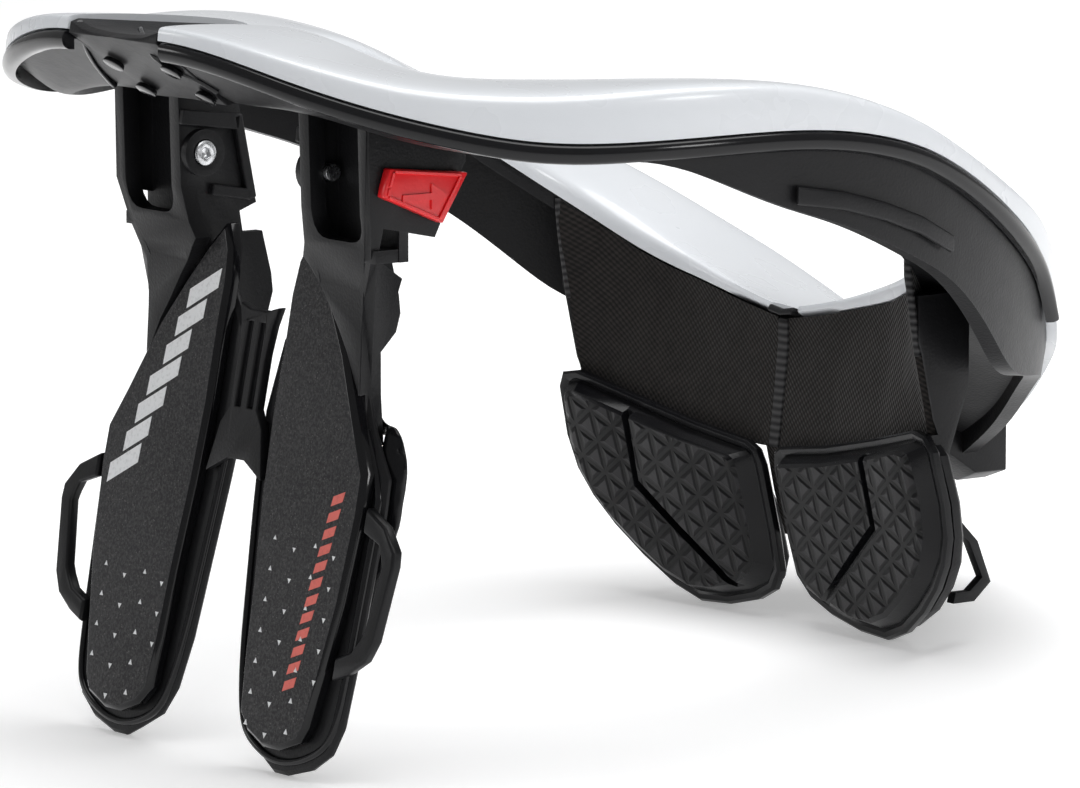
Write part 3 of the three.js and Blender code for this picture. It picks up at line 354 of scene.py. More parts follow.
class Finish:
    """A material on a Principled shader, built node by node."""

    def __init__(self, name, colour, roughness, metallic=0.0, coat=0.0, coat_roughness=0.1):
        self.material = bpy.data.materials.new(name)
        self.material.use_nodes = True
        self.tree = self.material.node_tree
        self.tree.nodes.clear()
        self.shader = self.node("ShaderNodeBsdfPrincipled")
        output = self.node("ShaderNodeOutputMaterial")
        self.tree.links.new(self.shader.outputs[0], output.inputs[0])
        self.place = self.node("ShaderNodeTexCoord").outputs["Object"]
        self.shader.inputs["Base Color"].default_value = (*colour, 1)
        self.shader.inputs["Roughness"].default_value = roughness
        self.shader.inputs["Metallic"].default_value = metallic
        self.shader.inputs["Coat Weight"].default_value = coat
        self.shader.inputs["Coat Roughness"].default_value = coat_roughness
        if sum(colour) < 0.2:
            self.shader.inputs["Specular IOR Level"].default_value = 0.22
        self.material.diffuse_color = (*colour, 1)

    def feed(self, target, value):
        if isinstance(value, Wire):
            value = value.socket
        if isinstance(value, bpy.types.NodeSocket):
            self.tree.links.new(value, target)
        else:
            target.default_value = value

    def node(self, kind, settings=None, sockets=None):
        node = self.tree.nodes.new(kind)
        for key, value in (settings or {}).items():
            if key == "stops":
                ramp = node.color_ramp
                while len(ramp.elements) < len(value):
                    ramp.elements.new(0.5)
                for stop, (position, colour) in zip(ramp.elements, value):
                    stop.position = position
                    stop.color = (*colour, 1)
            else:
                setattr(node, key, value)
        for key, value in (sockets or {}).items():
            self.feed(node.inputs[key], value)
        return node

    def noise(self, scale, detail, rough=0.5):
        node = self.node(
            "ShaderNodeTexNoise", None,
            {"Vector": self.place, "Scale": scale, "Detail": detail, "Roughness": rough},
        )
        return Wire(self, node.outputs[0])

    def cells(self, scale):
        node = self.node("ShaderNodeTexVoronoi", None, {"Vector": self.place, "Scale": scale})
        return Wire(self, node.outputs["Distance"])

    def along(self, direction, pitch):
        """How far a point lies along a direction, in steps of a pitch in metres."""
        unit = Vector(direction).normalized() / pitch
        node = self.node(
            "ShaderNodeVectorMath", {"operation": "DOT_PRODUCT"}, {0: self.place, 1: tuple(unit)}
        )
        return Wire(self, node.outputs["Value"])

    def wave(self, direction, pitch):
        """A smooth wave from zero to one and back at every step of a pitch."""
        return (self.along(direction, pitch) * math.tau).math("SINE") * 0.5 + 0.5

    def ramp(self, factor, low, high):
        """Zero below low, one above high and a straight rise between."""
        node = self.node(
            "ShaderNodeMapRange", {"clamp": True},
            {"Value": factor, "From Min": low, "From Max": high, "To Min": 0.0, "To Max": 1.0},
        )
        return Wire(self, node.outputs[0])

    def mix(self, factor, colour_a, colour_b):
        node = self.node("ShaderNodeMix", {"data_type": "RGBA"}, {0: factor})
        for place, colour in ((6, colour_a), (7, colour_b)):
            value = colour if isinstance(colour, bpy.types.NodeSocket) else (*colour, 1)
            self.feed(node.inputs[place], value)
        return node.outputs[2]

    def colour(self, socket):
        self.feed(self.shader.inputs["Base Color"], socket)

    def roughness(self, value):
        self.feed(self.shader.inputs["Roughness"], value)

    def bump(self, height, strength, distance):
        node = self.node(
            "ShaderNodeBump", None,
            {"Height": height, "Strength": strength, "Distance": distance},
        )
        self.tree.links.new(node.outputs[0], self.shader.inputs["Normal"])

    def edge_wear_and_highlight(self):
        """One along outer edges and zero on the flats, in patches: a lighter edge colour that is partly
        wear and partly a painted highlight where edges catch the light.
        """
        geometry = self.node("ShaderNodeNewGeometry")
        rounded = self.node("ShaderNodeBevel", {"samples": 4}, {"Radius": 0.0007})
        turned = self.node(
            "ShaderNodeVectorMath", {"operation": "DOT_PRODUCT"},
            {0: rounded.outputs[0], 1: geometry.outputs["Normal"]},
        )
        edges = self.ramp(1 - Wire(self, turned.outputs["Value"]), 0.01, 0.09)
        return edges * self.ramp(self.noise(260, 3), 0.3, 0.65)


def white_shell_finish():
    """Satin white moulding with a faint orange peel, softly greyer in places."""
    made = Finish("white_shell", (0.7, 0.72, 0.75), 0.26, coat=0.35, coat_roughness=0.12)
    cloud = made.ramp(made.noise(14, 3), 0.15, 0.85)
    made.colour(made.mix(cloud, (0.67, 0.695, 0.73), (0.74, 0.76, 0.785)))
    made.roughness(0.22 + made.noise(45, 3) * 0.12)
    made.bump(made.noise(620, 2), 0.035, 0.0003)
    return made.material


def gloss_black_finish():
    """Deep black gloss moulding with fine handling marks."""
    made = Finish("gloss_black", (0.005, 0.005, 0.006), 0.16, coat=0.18, coat_roughness=0.08)
    marks = made.noise(90, 6, 0.7)
    # Lighter edges: partly wear, partly a painted highlight.
    made.colour(made.mix(made.edge_wear_and_highlight(), (0.006, 0.006, 0.007), (0.02, 0.0205, 0.022)))
    made.roughness(0.12 + made.ramp(marks, 0.4, 0.75) * 0.12)
    made.bump(made.noise(300, 3), 0.06, 0.0003)
    return made.material


def satin_black_finish():
    """Black nylon moulding with a spark-eroded grain and lighter edges, partly worn and partly a painted
    highlight.
    """
    made = Finish("black_moulding", (0.011, 0.011, 0.012), 0.36)
    grain = made.noise(1500, 2) * 0.7 + made.cells(1100) * 0.6
    # Lighter edges: partly wear, partly a painted highlight.
    made.colour(made.mix(made.edge_wear_and_highlight(), (0.009, 0.009, 0.01), (0.026, 0.026, 0.028)))
    made.roughness(0.36 + made.noise(220, 3) * 0.1)
    made.bump(grain, 0.22, 0.0003)
    return made.material


def speckled_finish():
    """Matt charcoal panel with a dense light grain through it."""
    made = Finish("speckled_panel", (0.03, 0.03, 0.032), 0.5)
    grain = made.ramp(made.noise(1250, 3, 0.7), 0.42, 0.72)
    cloud = made.ramp(made.noise(34, 3), 0.2, 0.8)
    fleck = (made.cells(900) < 0.17) * (made.noise(480, 2) > 0.5)
    tone = made.mix(cloud, (0.014, 0.014, 0.0155), (0.024, 0.024, 0.026))
    grained = made.mix(grain * 0.75, tone, (0.085, 0.083, 0.083))
    made.colour(made.mix(fleck * 0.6, grained, (0.16, 0.155, 0.15)))
    made.roughness(0.46 + made.noise(300, 3) * 0.16)
    made.bump(made.noise(1300, 3), 0.35, 0.0003)
    return made.material


def foam_finish():
    """Black moulded foam skin, glossy where it is stretched over its rim."""
    made = Finish("pad_skin", (0.009, 0.009, 0.01), 0.34)
    # Lighter edges: partly wear, partly a painted highlight.
    made.colour(made.mix(made.edge_wear_and_highlight(), (0.005, 0.005, 0.006), (0.018, 0.0185, 0.02)))
    made.roughness(0.2 + made.noise(200, 3) * 0.1)
    made.bump(made.noise(900, 3), 0.12, 0.0003)
    return made.material


def embossed_finish():
    """Pad skin pressed with a field of small raised triangles, with painted shade darkening the grooves
    between them.
    """
    made = Finish("pad_embossed", (0.01, 0.01, 0.011), 0.38)
    pitch = 0.0078
    nearest = None
    for degrees in (4, 64, 124):
        turn = math.radians(degrees)
        line = made.along((math.cos(turn), 0.22 * math.sin(turn), math.sin(turn)), pitch)
        away = (line.math("FRACT") - 0.5).math("ABSOLUTE") * 2
        nearest = away if nearest is None else nearest.math("MAXIMUM", away)
    tiles_and_groove_shade = 1 - made.ramp(nearest, 0.6, 0.86)
    # Painted shade: the grooves between the raised tiles are coloured darker than the tiles.
    made.colour(made.mix(tiles_and_groove_shade, (0.003, 0.003, 0.0034), (0.0105, 0.0098, 0.0115)))
    made.roughness(0.5 - tiles_and_groove_shade * 0.14 + made.noise(70, 3) * 0.08)
    made.bump(tiles_and_groove_shade + made.noise(900, 2) * 0.05, 0.9, 0.0012)
    return made.material


def fabric_finish():
    """Black technical twill, slightly brown, with a visible diagonal thread."""
    made = Finish("twill", (0.02, 0.018, 0.017), 0.78)
    warp = made.wave((0.72, 0.0, 0.7), 0.0011)
    weft = made.wave((-0.64, 0.0, 0.77), 0.0016)
    weave = warp * 0.65 + weft * 0.35
    shade = made.ramp(weave + made.noise(240, 3) * 0.5, 0.45, 1.25)
    made.colour(made.mix(shade, (0.004, 0.0036, 0.0034), (0.026, 0.022, 0.02)))
    made.roughness(0.68 + made.noise(200, 2) * 0.18)
    made.bump(weave + made.noise(500, 3) * 0.4, 0.6, 0.0004)
    made.shader.inputs["Sheen Weight"].default_value = 0.12
    made.shader.inputs["Sheen Roughness"].default_value = 0.4
    return made.material


def binding_finish():
    """Rolled edge binding with close cross stitches."""
    made = Finish("binding", (0.03, 0.03, 0.032), 0.62)
    stitch = made.wave((0.0, 0.1, 1.0), 0.0021)
    made.colour(made.mix(stitch, (0.012, 0.012, 0.013), (0.06, 0.059, 0.06)))
    made.roughness(0.55 + made.noise(300, 3) * 0.2)
    made.bump(stitch + made.noise(700, 2) * 0.4, 0.6, 0.0005)
    return made.material


def steel_finish():
    """Bright turned steel."""
    made = Finish("steel", (0.72, 0.73, 0.75), 0.2, metallic=1.0)
    cloud = made.ramp(made.noise(400, 4), 0.35, 0.75)
    made.colour(made.mix(cloud, (0.62, 0.63, 0.65), (0.78, 0.79, 0.8)))
    made.roughness(0.16 + made.noise(500, 5) * 0.2)
    made.bump(made.noise(1800, 2), 0.1, 0.0001)
    return made.material


def red_finish():
    """Bright red moulding with a light grain."""
    made = Finish("red_plastic", (0.86, 0.012, 0.018), 0.32, coat=0.25, coat_roughness=0.2)
    cloud = made.ramp(made.noise(60, 3), 0.35, 0.7)
    made.colour(made.mix(cloud, (0.8, 0.01, 0.016), (0.9, 0.02, 0.024)))
    made.roughness(0.26 + made.noise(90, 3) * 0.14)
    made.bump(made.noise(1100, 2), 0.15, 0.0003)
    return made.material


def rubber_finish():
    """Tough black rubberised nylon of the strap loops."""
    made = Finish("black_rubber", (0.009, 0.009, 0.01), 0.3)
    # Lighter edges: partly wear, partly a painted highlight.
    made.colour(made.mix(made.edge_wear_and_highlight(), (0.009, 0.009, 0.01), (0.025, 0.025, 0.027)))
    made.roughness(0.28 + made.noise(240, 3) * 0.1)
    made.bump(made.noise(1000, 2), 0.15, 0.0003)
    return made.material


def print_finish(name, colour):
    """Printed ink, slightly broken up by the grain under it."""
    made = Finish(name, colour, 0.45)
    worn_ink = tuple(c * 0.82 for c in colour)
    made.colour(made.mix(made.ramp(made.noise(900, 3), 0.5, 0.72), colour, worn_ink))
    made.roughness(0.4 + made.noise(400, 2) * 0.15)
    made.bump(made.noise(1300, 3), 0.2, 0.0002)
    return made.material


def floor_finish():
    made = Finish("pale_floor", (0.93, 0.93, 0.935), 0.55)
    made.colour(made.mix(made.noise(3, 2), (0.92, 0.92, 0.925), (0.945, 0.945, 0.95)))
    made.shader.inputs["Emission Color"].default_value = (1, 1, 1, 1)
    made.shader.inputs["Emission Strength"].default_value = 0.3
    return made.material


FINISHES = {}


def finish_named(name):
    """The material of a name, made when it is first asked for."""
    makers = {
        "white_shell": white_shell_finish,
        "gloss_black": gloss_black_finish,
        "satin_black": satin_black_finish,
        "speckled": speckled_finish,
        "foam": foam_finish,
        "embossed": embossed_finish,
        "fabric": fabric_finish,
        "binding": binding_finish,
        "steel": steel_finish,
        "red": red_finish,
        "rubber": rubber_finish,
        "white_print": lambda: print_finish("white_print", (0.8, 0.81, 0.82)),
        "coral_print": lambda: print_finish("coral_print", (0.72, 0.14, 0.11)),
        "floor": floor_finish,
    }
    if name not in FINISHES:
        FINISHES[name] = makers[name]()
    return FINISHES[name]


class NeckBraceSizes(bpy.types.PropertyGroup):
    edge_round: bpy.props.FloatProperty(
        name="Edge round", description="Radius of the moulded edges", default=0.00045,
        min=0.0001, unit="LENGTH", subtype="DISTANCE",
    )
    dot_size: bpy.props.FloatProperty(
        name="Dot size", description="Radius of the small printed triangles on the leg panels",
        default=0.001, min=0.0004, unit="LENGTH", subtype="DISTANCE",
    )
    ink_thick: bpy.props.FloatProperty(
        name="Ink thickness", description="How far the printed marks stand off the panels",
        default=0.00012, min=0.00005, unit="LENGTH", subtype="DISTANCE",
    )
    pad_cap: bpy.props.FloatProperty(
        name="Pad swell limit", description="How far a point of a leg pad may swell",
        default=0.0012, min=0.0, unit="LENGTH", subtype="DISTANCE",
    )
    fabric_ripple: bpy.props.FloatProperty(
        name="Fabric ripple", description="Depth of the soft ripples in the chest fabric",
        default=0.0006, min=0.0, unit="LENGTH", subtype="DISTANCE",
    )


class NeckBraceColours(bpy.types.PropertyGroup):
    backdrop: bpy.props.FloatVectorProperty(
        name="Backdrop", description="Colour of the soft studio surroundings",
        default=(1.0, 1.0, 1.0), size=3, subtype="COLOR", min=0.0, max=1.0,
    )


class NECKBRACE_OT_stage(bpy.types.Operator):
    """Make the pale floor, the soft studio lights and the camera"""

    bl_idname = "neckbrace.stage"
    bl_label = "Stage"

    def execute(self, context):
        clear_selection()
        bpy.ops.mesh.primitive_plane_add(size=14, location=(0, 0, -0.0002))
        floor = context.object
        floor.name = "studio_floor"
        in_edit_mode(floor, lambda: bpy.ops.mesh.subdivide(number_cuts=4))
        floor.data.materials.append(finish_named("floor"))

        world = bpy.data.worlds.new("studio")
        world.use_nodes = True
        surroundings = world.node_tree.nodes["Background"]
        surroundings.inputs[0].default_value = (*context.scene.neck_brace_colours.backdrop, 1)
        surroundings.inputs[1].default_value = 0.3
        context.scene.world = world

        self.light("key_light", (0.15, 0.35, 2.1), 2.2, 50)
        self.light("side_light", (2.2, 0.6, 0.9), 0.5, 7)
        self.light("left_light", (-1.5, -1.7, 0.9), 0.5, 3.5)
        context.scene.view_settings.view_transform = "Standard"

        camera = bpy.data.objects.new("photo_camera", bpy.data.cameras.new("photo_camera"))
        context.scene.collection.objects.link(camera)
        camera.data.lens = CAMERA_LENS
        camera.data.sensor_width = CAMERA_SENSOR
        camera.data.sensor_fit = "HORIZONTAL"
        camera.data.clip_start = 0.05
        camera.data.clip_end = 60
        camera.matrix_world = CAMERA
        context.scene.camera = camera
        return {"FINISHED"}

    def light(self, name, place, size, power):
        data = bpy.data.lights.new(name, "AREA")
        data.shape = "DISK"
        data.size = size
        data.energy = power
        lamp = bpy.data.objects.new(name, data)
        lamp.location = place
        towards = Vector((0, 0, 0.1)) - Vector(place)
        lamp.rotation_euler = towards.to_track_quat("-Z", "Y").to_euler()
        bpy.context.scene.collection.objects.link(lamp)


class NECKBRACE_OT_collar(bpy.types.Operator):
    """Make the white collar pads with their black rims"""

    bl_idname = "neckbrace.collar"
    bl_label = "Collar"

    def execute(self, context):
        for side in SIDES:
            flowing_copy(
                f"collar_pad_{side}", f"collar_shell_{side}", "root",
                finish_named("white_shell"), crease=62,
            )
            flowing_copy(
                f"collar_rim_{side}", f"collar_bead_{side}", "root",
                finish_named("gloss_black"), crease=75,
            )
        return {"FINISHED"}


class NECKBRACE_OT_chassis(bpy.types.Operator):
    """Make the black chassis under the collar with its rear bridge, latch, bars and screws"""

    bl_idname = "neckbrace.chassis"
    bl_label = "Chassis"

    def execute(self, context):
        for side in SIDES:
            flowing_copy(
                f"chassis_{side}", f"chassis_frame_{side}", "root",
                finish_named("satin_black"), crease=48,
            )
            rounded_copy(
                f"side_bar_{side}", f"side_rail_{side}", "root",
                finish_named("satin_black"), width=0.0006,
            )
            for place in ("upper", "lower"):
                rounded_copy(
                    f"rear_screw_{place}_{side}", f"bridge_screw_{place}_{side}", "root",
                    finish_named("gloss_black"), width=0.0003,
                )
        rounded_copy(
            "rear_bridge", "bridge_saddle", "root", finish_named("satin_black"),
            width=0.0012, segments=4, angle=20,
        )
        self.saddle_lips()
        rounded_copy(
            "front_latch", "latch_block", "root", finish_named("satin_black"),
            width=0.0006,
        )
        return {"FINISHED"}

    def saddle_lips(self):
        """The two raised lips that run down the saddle's sides and out along its foot."""
        trees = [surface_of(name) for name in ("rear_bridge", "chassis_right", "chassis_left")]
        lines = {
            "left": ((80, 22), (85, 45), (98, 68), (115, 85), (132, 93), (150, 97)),
            "right": ((141, 30), (148, 50), (165, 65), (182, 73), (200, 80), (218, 92)),
        }
        for side, line in lines.items():
            points = [seen_at(trees, across, down) for across, down in line]
            points = [point for point in points if point is not None]
            if len(points) < 3:
                continue
            lip = bead_along(f"saddle_lip_{side}", points, 0.0009)
            finish_piece(lip, "root", finish_named("gloss_black"))


class NECKBRACE_OT_legs(bpy.types.Operator):
    """Make the rear leg brackets, panels, bolts, strap loops and the web between the legs"""

    bl_idname = "neckbrace.legs"
    bl_label = "Rear legs"

    def execute(self, context):
        edge = context.scene.neck_brace_sizes.edge_round
        for side in SIDES:
            rounded_copy(
                f"leg_arm_{side}", f"leg_bracket_{side}", "root",
                finish_named("satin_black"), width=edge,
            )
            panel = rounded_copy(
                f"leg_panel_{side}", f"leg_face_{side}", "root",
                finish_named("speckled"), width=edge,
            )
            self.gloss_the_border(panel)
            self.flange_lip(side)
            rounded_copy(
                f"leg_bolt_{side}", f"leg_pivot_{side}", "root",
                finish_named("steel"), width=0.0003,
            )
            rounded_copy(
                f"leg_loop_{side}", f"rear_loop_{side}", "root",
                finish_named("rubber"), width=0.0007, segments=3,
            )
            self.bolt_frame(side)
        rounded_copy(
            "spine_web", "leg_web", "root", finish_named("satin_black"),
            width=edge,
        )
        return {"FINISHED"}

    def flange_lip(self, side):
        """The raised lip that runs round the edge of a leg's flange, open at its top."""
        sign = 1 if side == "right" else -1
        # Shares of the leg's length below its top, and of its width outwards from its middle.
        edge = (
            (0.36, -0.545), (0.49, -0.52), (0.66, -0.47), (0.795, -0.43), (0.895, -0.37),
            (0.94, -0.3), (0.968, -0.15), (0.978, 0.0), (0.965, 0.17), (0.935, 0.32),
            (0.895, 0.385), (0.795, 0.405), (0.66, 0.42), (0.49, 0.44), (0.44, 0.43), (0.34, 0.262),
        )
        tree = surface_of(f"leg_arm_{side}")
        points = []
        for down, share in edge:
            x, z = sign * (LEG_X + share * LEG_WIDE), LEG_TOP - down * LEG_LONG
            place, _ = hit_from(tree, worn(x, RAY_START_Y, z), worn(x, 0, z))
            if place is not None:
                points.append(place)
        lip = bead_along(f"flange_lip_{side}", points, 0.0011)
        finish_piece(lip, "root", finish_named("gloss_black"))

    def bolt_frame(self, side):
        """A raised frame round the bolt, on the inner face of a bracket's medial plate."""
        sign = 1 if side == "right" else -1
        bars = (
            ((0.6, 29.2), (19.6, 26.6), 4.2), ((18.9, 28.6), (23.6, 5.4), 2.8),
            ((10.5, 8.6), (23.4, 6.4), 3.0),
        )
        made = [
            outline_plate("bar", strip_corners(start, end, wide), 0.002, 0.0004)
            for start, end, wide in bars
        ]
        frame_piece = join_pieces(made, f"bolt_frame_{side}")
        place_piece(frame_piece, beside_bracket(sign * BOLT_FRAME_X, -sign))
        if sign > 0:
            in_edit_mode(frame_piece, lambda: bpy.ops.mesh.normals_make_consistent(inside=False))
        finish_piece(frame_piece, "root", finish_named("satin_black"))

    def gloss_the_border(self, panel):
        """Gives the panel's bevel and rim the gloss finish and leaves its flat face speckled."""
        outwards = STANDING.to_3x3() @ Vector((0, -math.cos(LEG_LEAN), math.sin(LEG_LEAN)))
        panel.data.materials.append(finish_named("gloss_black"))
        for face in panel.data.polygons:
            if face.normal.dot(outwards) < 0.985:
                face.material_index = 1


class NECKBRACE_OT_leg_pads(bpy.types.Operator):
    """Make the soft pads under the rear legs, swelled by a short cloth simulation"""

    bl_idname = "neckbrace.leg_pads"
    bl_label = "Leg pads"

    def execute(self, context):
        cap = context.scene.neck_brace_sizes.pad_cap
        for side in SIDES:
            obj = copy_of_node(f"leg_pad_{side}", f"leg_cushion_{side}")
            self.swell(context, obj, cap)
            smooth(obj, 60)
            finish_piece(obj, "root", finish_named("foam"))
            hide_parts(f"leg_pad_{side}")
        return {"FINISHED"}

    def swell(self, context, obj, cap):
        """Blows a pad up by a cloth simulation, each point by no more than the cap."""
        apply_modifier(obj, "REMESH", mode="VOXEL", voxel_size=0.0022)
        apply_modifier(obj, "SMOOTH", factor=0.5, iterations=3)
        before = [v.co.copy() for v in obj.data.vertices]
        cloth = obj.modifiers.new("swell", "CLOTH")
        cloth.settings.use_pressure = True
        cloth.settings.uniform_pressure_force = 4
        cloth.settings.quality = 4
        cloth.settings.mass = 0.3
        cloth.settings.effector_weights.gravity = 0
        cloth.point_cache.frame_start = 1
        cloth.point_cache.frame_end = 20
        for moment in range(1, 21):
            context.scene.frame_set(moment)
        select_only(obj)
        bpy.ops.object.modifier_apply(modifier="swell")
        context.scene.frame_set(1)
        for vertex, start in zip(obj.data.vertices, before):
            move = vertex.co - start
            if move.length > cap:
                vertex.co = start + move.normalized() * cap
        apply_modifier(obj, "SMOOTH", factor=0.4, iterations=2)
        apply_modifier(obj, "SUBSURF", levels=1, render_levels=1)


class NECKBRACE_OT_chest(bpy.types.Operator):
    """Make the chest pads with their embossed fields, plates and strap loops"""

    bl_idname = "neckbrace.chest"
    bl_label = "Chest pads"

    def execute(self, context):
        for side in SIDES:
            pad = rounded_copy(
                f"chest_pad_{side}", f"chest_cushion_{side}", "root",
                finish_named("foam"), width=0.0009, segments=3, angle=24,
            )
            self.emboss_the_field(pad)
            rounded_copy(
                f"chest_plate_{side}", f"chest_wing_{side}", "root",
                finish_named("satin_black"), width=0.0005,
            )
            rounded_copy(
                f"chest_loop_{side}", f"front_loop_{side}", "root",
                finish_named("rubber"), width=0.0006, segments=3,
            )
        return {"FINISHED"}

    def emboss_the_field(self, pad):
        """Gives the raised inner fields the embossed finish."""
        back = STANDING.inverted()
        outwards = STANDING.to_3x3() @ Vector((0, -math.cos(CHEST_LEAN), -math.sin(CHEST_LEAN)))
        pad.data.materials.append(finish_named("embossed"))
        for face in pad.data.polygons:
            place = back @ face.center * 1000
            proud = chest_face_y(place.x, place.z) - place.y
            if proud > FIELD_PROUD and face.normal.dot(outwards) > 0.9:
                face.material_index = 1


class NECKBRACE_OT_fabric(bpy.types.Operator):
    """Make the stretched chest fabric with its bound edges and centre seam"""

    bl_idname = "neckbrace.fabric"
    bl_label = "Chest fabric"

    def execute(self, context):
        ripple = context.scene.neck_brace_sizes.fabric_ripple
        rounded_copy(
            "chest_seam", "centre_seam", "root", finish_named("binding"), width=0.0006,
        )
        self.seam_tail()
        for side in SIDES:
            cloth = copy_of_node(f"chest_fabric_{side}", f"chest_cloth_{side}")
            in_edit_mode(cloth, lambda: bpy.ops.mesh.subdivide(number_cuts=2))
            for vertex in cloth.data.vertices:
                place = Vector((vertex.co.x * 60, 0, vertex.co.z * 60))
                vertex.co.y += ripple * noise.noise(place)
            smooth(cloth, 40)
            finish_piece(cloth, "root", finish_named("fabric"))
            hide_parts(f"chest_fabric_{side}")
            binding = bead_along(f"edge_binding_{side}", self.outer_edge(side), 0.0011)
            finish_piece(binding, "root", finish_named("binding"))
        return {"FINISHED"}

    def seam_tail(self):
        """The short web below the centre seam that fills the gap between the chest pads."""
        outline = [(-4.2, -1), (4.2, -1), (4.6, 14), (3.6, 27), (-3.6, 27), (-4.6, 14)]
        tail = outline_plate("seam_tail", [(x / 1000, y / 1000) for x, y in outline], 0.0014, 0.0004)
        in_edit_mode(tail, lambda: bpy.ops.mesh.subdivide(number_cuts=2))
        z = -126.6
        y = chest_face_y(0, z) + 3.7
        lean_sin, lean_cos = math.sin(CHEST_LEAN), math.cos(CHEST_LEAN)
        place_piece(tail, STANDING @ Matrix((
            (1, 0, 0, 0),
            (0, lean_sin, lean_cos, y / 1000),
            (0, -lean_cos, lean_sin, z / 1000),
            (0, 0, 0, 1),
        )))
        finish_piece(tail, "root", finish_named("fabric"))

    def outer_edge(self, side):
        """Points down the middle of a fabric half's outer edge."""
        back = STANDING.inverted()
        corners = {}
        for vertex in NODES[f"chest_fabric_{side}"].data.vertices:
            place = back @ vertex.co
            bearing = math.degrees(math.atan2(abs(place.x), -place.y))
            corners[tuple(round(c, 5) for c in place)] = bearing
        first = min(corners.values())
        edge = sorted((c for c in corners if corners[c] < first + 3.5), key=lambda c: -c[2])
        pairs = [edge[i:i + 2] for i in range(0, len(edge) - 1, 2)]
        return [STANDING @ ((Vector(a) + Vector(b)) / 2) for a, b in pairs]

    def cut_size(self, cloth):
        """Width round the opening and height of the flat cut of one fabric half."""
        points = [v.co for v in cloth.data.vertices]
        wide = max(p.x for p in points) - min(p.x for p in points)
        deep = max(p.y for p in points) - min(p.y for p in points)
        tall = max(p.z for p in points) - min(p.z for p in points)
        return math.hypot(wide, deep) * 1.02, tall * 1.02


class NECKBRACE_OT_tabs(bpy.types.Operator):
    """Make the red pull tabs with a raised border and a plain arrow"""

    bl_idname = "neckbrace.tabs"
    bl_label = "Pull tabs"

    def execute(self, context):
        for side in SIDES:
            body = f"pull_tab_{side}_body"
            rounded_copy(
                f"pull_tab_{side}", f"red_tab_{side}", body, finish_named("red"),
                width=0.0005,
            )
            self.arrow(side, body)
        return {"FINISHED"}

    def arrow(self, side, body):
        """A raised arrow and border line on the outer face of a tab."""
        sign = 1 if side == "right" else -1
        outline = [(5.3, 22.8), (30.9, 20.1), (22.5, 7), (3, 15.2), (3.7, 18)]
        middle = [sum(p[i] for p in outline) / len(outline) for i in (0, 1)]
        inner = [tuple(m + (v - m) * 0.86 for v, m in zip(p, middle)) for p in outline]
        made = [
            outline_plate("rib", strip_corners(start, end, 0.8, 0.24), 0.00055, 0.00015)
            for start, end in zip(inner, inner[1:] + inner[:1])
        ]
        arrow = [
            (9, 13.7), (18.4, 13.7), (18.4, 11.2), (23.6, 14.6), (18.4, 18), (18.4, 15.5), (9, 15.5),
        ]
        made.append(outline_plate("arrow", [(y / 1000, z / 1000) for y, z in arrow], 0.0006))
        mark = join_pieces(made, f"tab_arrow_{side}")
        place_piece(mark, beside_bracket(sign * (TAB_FACE_X - 0.08), sign))
        if sign < 0:
            in_edit_mode(mark, lambda: bpy.ops.mesh.normals_make_consistent(inside=False))
        finish_piece(mark, body, finish_named("red"))


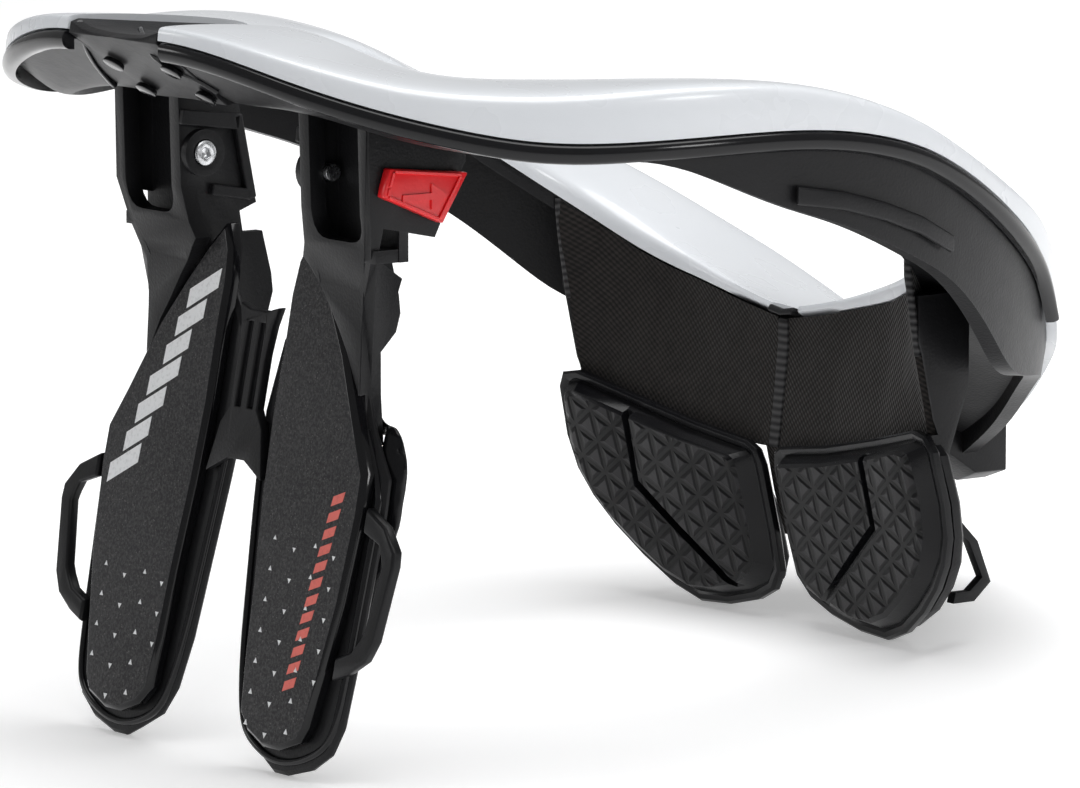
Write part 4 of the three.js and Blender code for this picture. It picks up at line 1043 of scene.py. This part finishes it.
class NECKBRACE_OT_prints(bpy.types.Operator):
    """Make the plain printed bars and the small triangle dots on the leg panels"""

    bl_idname = "neckbrace.prints"
    bl_label = "Panel prints"

    def execute(self, context):
        sizes = context.scene.neck_brace_sizes
        for side in SIDES:
            sign = 1 if side == "right" else -1
            tree = surface_of(f"leg_panel_{side}")
            dots = self.dots(tree, sign, sizes.dot_size, sizes.ink_thick)
            piece = join_pieces(dots, f"panel_dots_{side}")
            finish_piece(piece, "root", finish_named("white_print"))
            if side == "left":
                bars = self.bars(tree, sign, -70, -120, 7, sizes.ink_thick)
                ink = "white_print"
            else:
                bars = self.bars(tree, sign, -118, -168, 12, sizes.ink_thick)
                ink = "coral_print"
            marks = join_pieces(bars, f"panel_bars_{side}")
            finish_piece(marks, "root", finish_named(ink))
        return {"FINISHED"}

    def on_panel(self, tree, x, z, turn):
        """The place of a mark on a panel's outer face, at x and z of the worn brace."""
        place, normal = hit_from(tree, worn(x, RAY_START_Y, z), worn(x, 0, z))
        if place is None:
            return None
        across = STANDING.to_3x3() @ Vector((1, 0, 0))
        across = (across - normal * across.dot(normal)).normalized()
        up = normal.cross(across)
        matrix = Matrix((
            (across.x, up.x, normal.x, 0), (across.y, up.y, normal.y, 0),
            (across.z, up.z, normal.z, 0), (0, 0, 0, 1),
        ))
        spin = Matrix.Rotation(turn, 4, "Z")
        return Matrix.Translation(place - normal * INK_SINK) @ matrix @ spin

    def dots(self, tree, sign, radius, thick):
        """Small triangles in staggered columns, every other column upside down."""
        made = []
        offsets = (-12.8, -3.5, 5.8, 14.6) if sign > 0 else (11.8, 2.4, -7.0, -15.6)
        for row in range(7 if sign > 0 else 5):
            size = radius * (1 - 0.03 * row)
            corners = [
                (size * math.cos(math.radians(angle)), size * math.sin(math.radians(angle)))
                for angle in (90, 210, 330)
            ]
            for column, offset in enumerate(offsets):
                # The leg's tip is too narrow for the last column.
                if column == 3 and row < 2:
                    continue
                x = sign * (LEG_X + offset)
                z = -180.5 + row * 8.2 - (1.9 if column % 2 else 0)
                place = self.on_panel(tree, x, z, math.pi * (column % 2))
                if place is None:
                    continue
                dot = outline_plate("dot", corners, thick)
                place_piece(dot, place)
                made.append(dot)
        return made

    def bars(self, tree, sign, top, bottom, count, thick):
        """A row of plain slanted bars that runs down a panel."""
        made = []
        for index in range(count):
            share = index / (count - 1)
            z = top + (bottom - top) * share
            if sign < 0:
                x = 13.5 - LEG_X - share * 24.5
                wide = 15 - (index % 3) * 1.5
                high = 4.6
            else:
                x = LEG_X + 12.5 - share * 8.5
                wide = 5.2
                high = 2.4
            half, rise = wide / 2000, high / 2000
            skew = rise * 0.62
            corners = [
                (-half - skew, -rise), (half - skew, -rise), (half + skew, rise), (-half + skew, rise),
            ]
            place = self.on_panel(tree, x, z, math.radians(28 if sign < 0 else 20))
            if place is None:
                continue
            bar = outline_plate("bar", corners, thick)
            place_piece(bar, place)
            made.append(bar)
        return made


OPERATORS = (
    NECKBRACE_OT_stage,
    NECKBRACE_OT_collar,
    NECKBRACE_OT_chassis,
    NECKBRACE_OT_legs,
    NECKBRACE_OT_leg_pads,
    NECKBRACE_OT_chest,
    NECKBRACE_OT_fabric,
    NECKBRACE_OT_tabs,
    NECKBRACE_OT_prints,
)


class NECKBRACE_PT_panel(bpy.types.Panel):
    """The neck brace's sizes, colours and pieces"""

    bl_idname = "NECKBRACE_PT_panel"
    bl_label = "Neck Brace"
    bl_space_type = "VIEW_3D"
    bl_region_type = "UI"
    bl_category = "Neck Brace"

    def draw(self, context):
        layout = self.layout
        for group in (context.scene.neck_brace_sizes, context.scene.neck_brace_colours):
            for key in group.__annotations__:
                layout.prop(group, key)
        for operator in OPERATORS:
            layout.operator(operator.bl_idname)


CLASSES = (NeckBraceSizes, NeckBraceColours, *OPERATORS, NECKBRACE_PT_panel)


def register():
    for cls in CLASSES:
        bpy.utils.register_class(cls)
    bpy.types.Scene.neck_brace_sizes = bpy.props.PointerProperty(type=NeckBraceSizes)
    bpy.types.Scene.neck_brace_colours = bpy.props.PointerProperty(type=NeckBraceColours)


def unregister():
    del bpy.types.Scene.neck_brace_colours
    del bpy.types.Scene.neck_brace_sizes
    for cls in reversed(CLASSES):
        bpy.utils.unregister_class(cls)


def main():
    register()
    bpy.ops.neckbrace.stage()
    bpy.ops.neckbrace.collar()
    bpy.ops.neckbrace.chassis()
    bpy.ops.neckbrace.legs()
    bpy.ops.neckbrace.leg_pads()
    bpy.ops.neckbrace.chest()
    bpy.ops.neckbrace.fabric()
    bpy.ops.neckbrace.tabs()
    bpy.ops.neckbrace.prints()


if __name__ == "__main__":
    main()
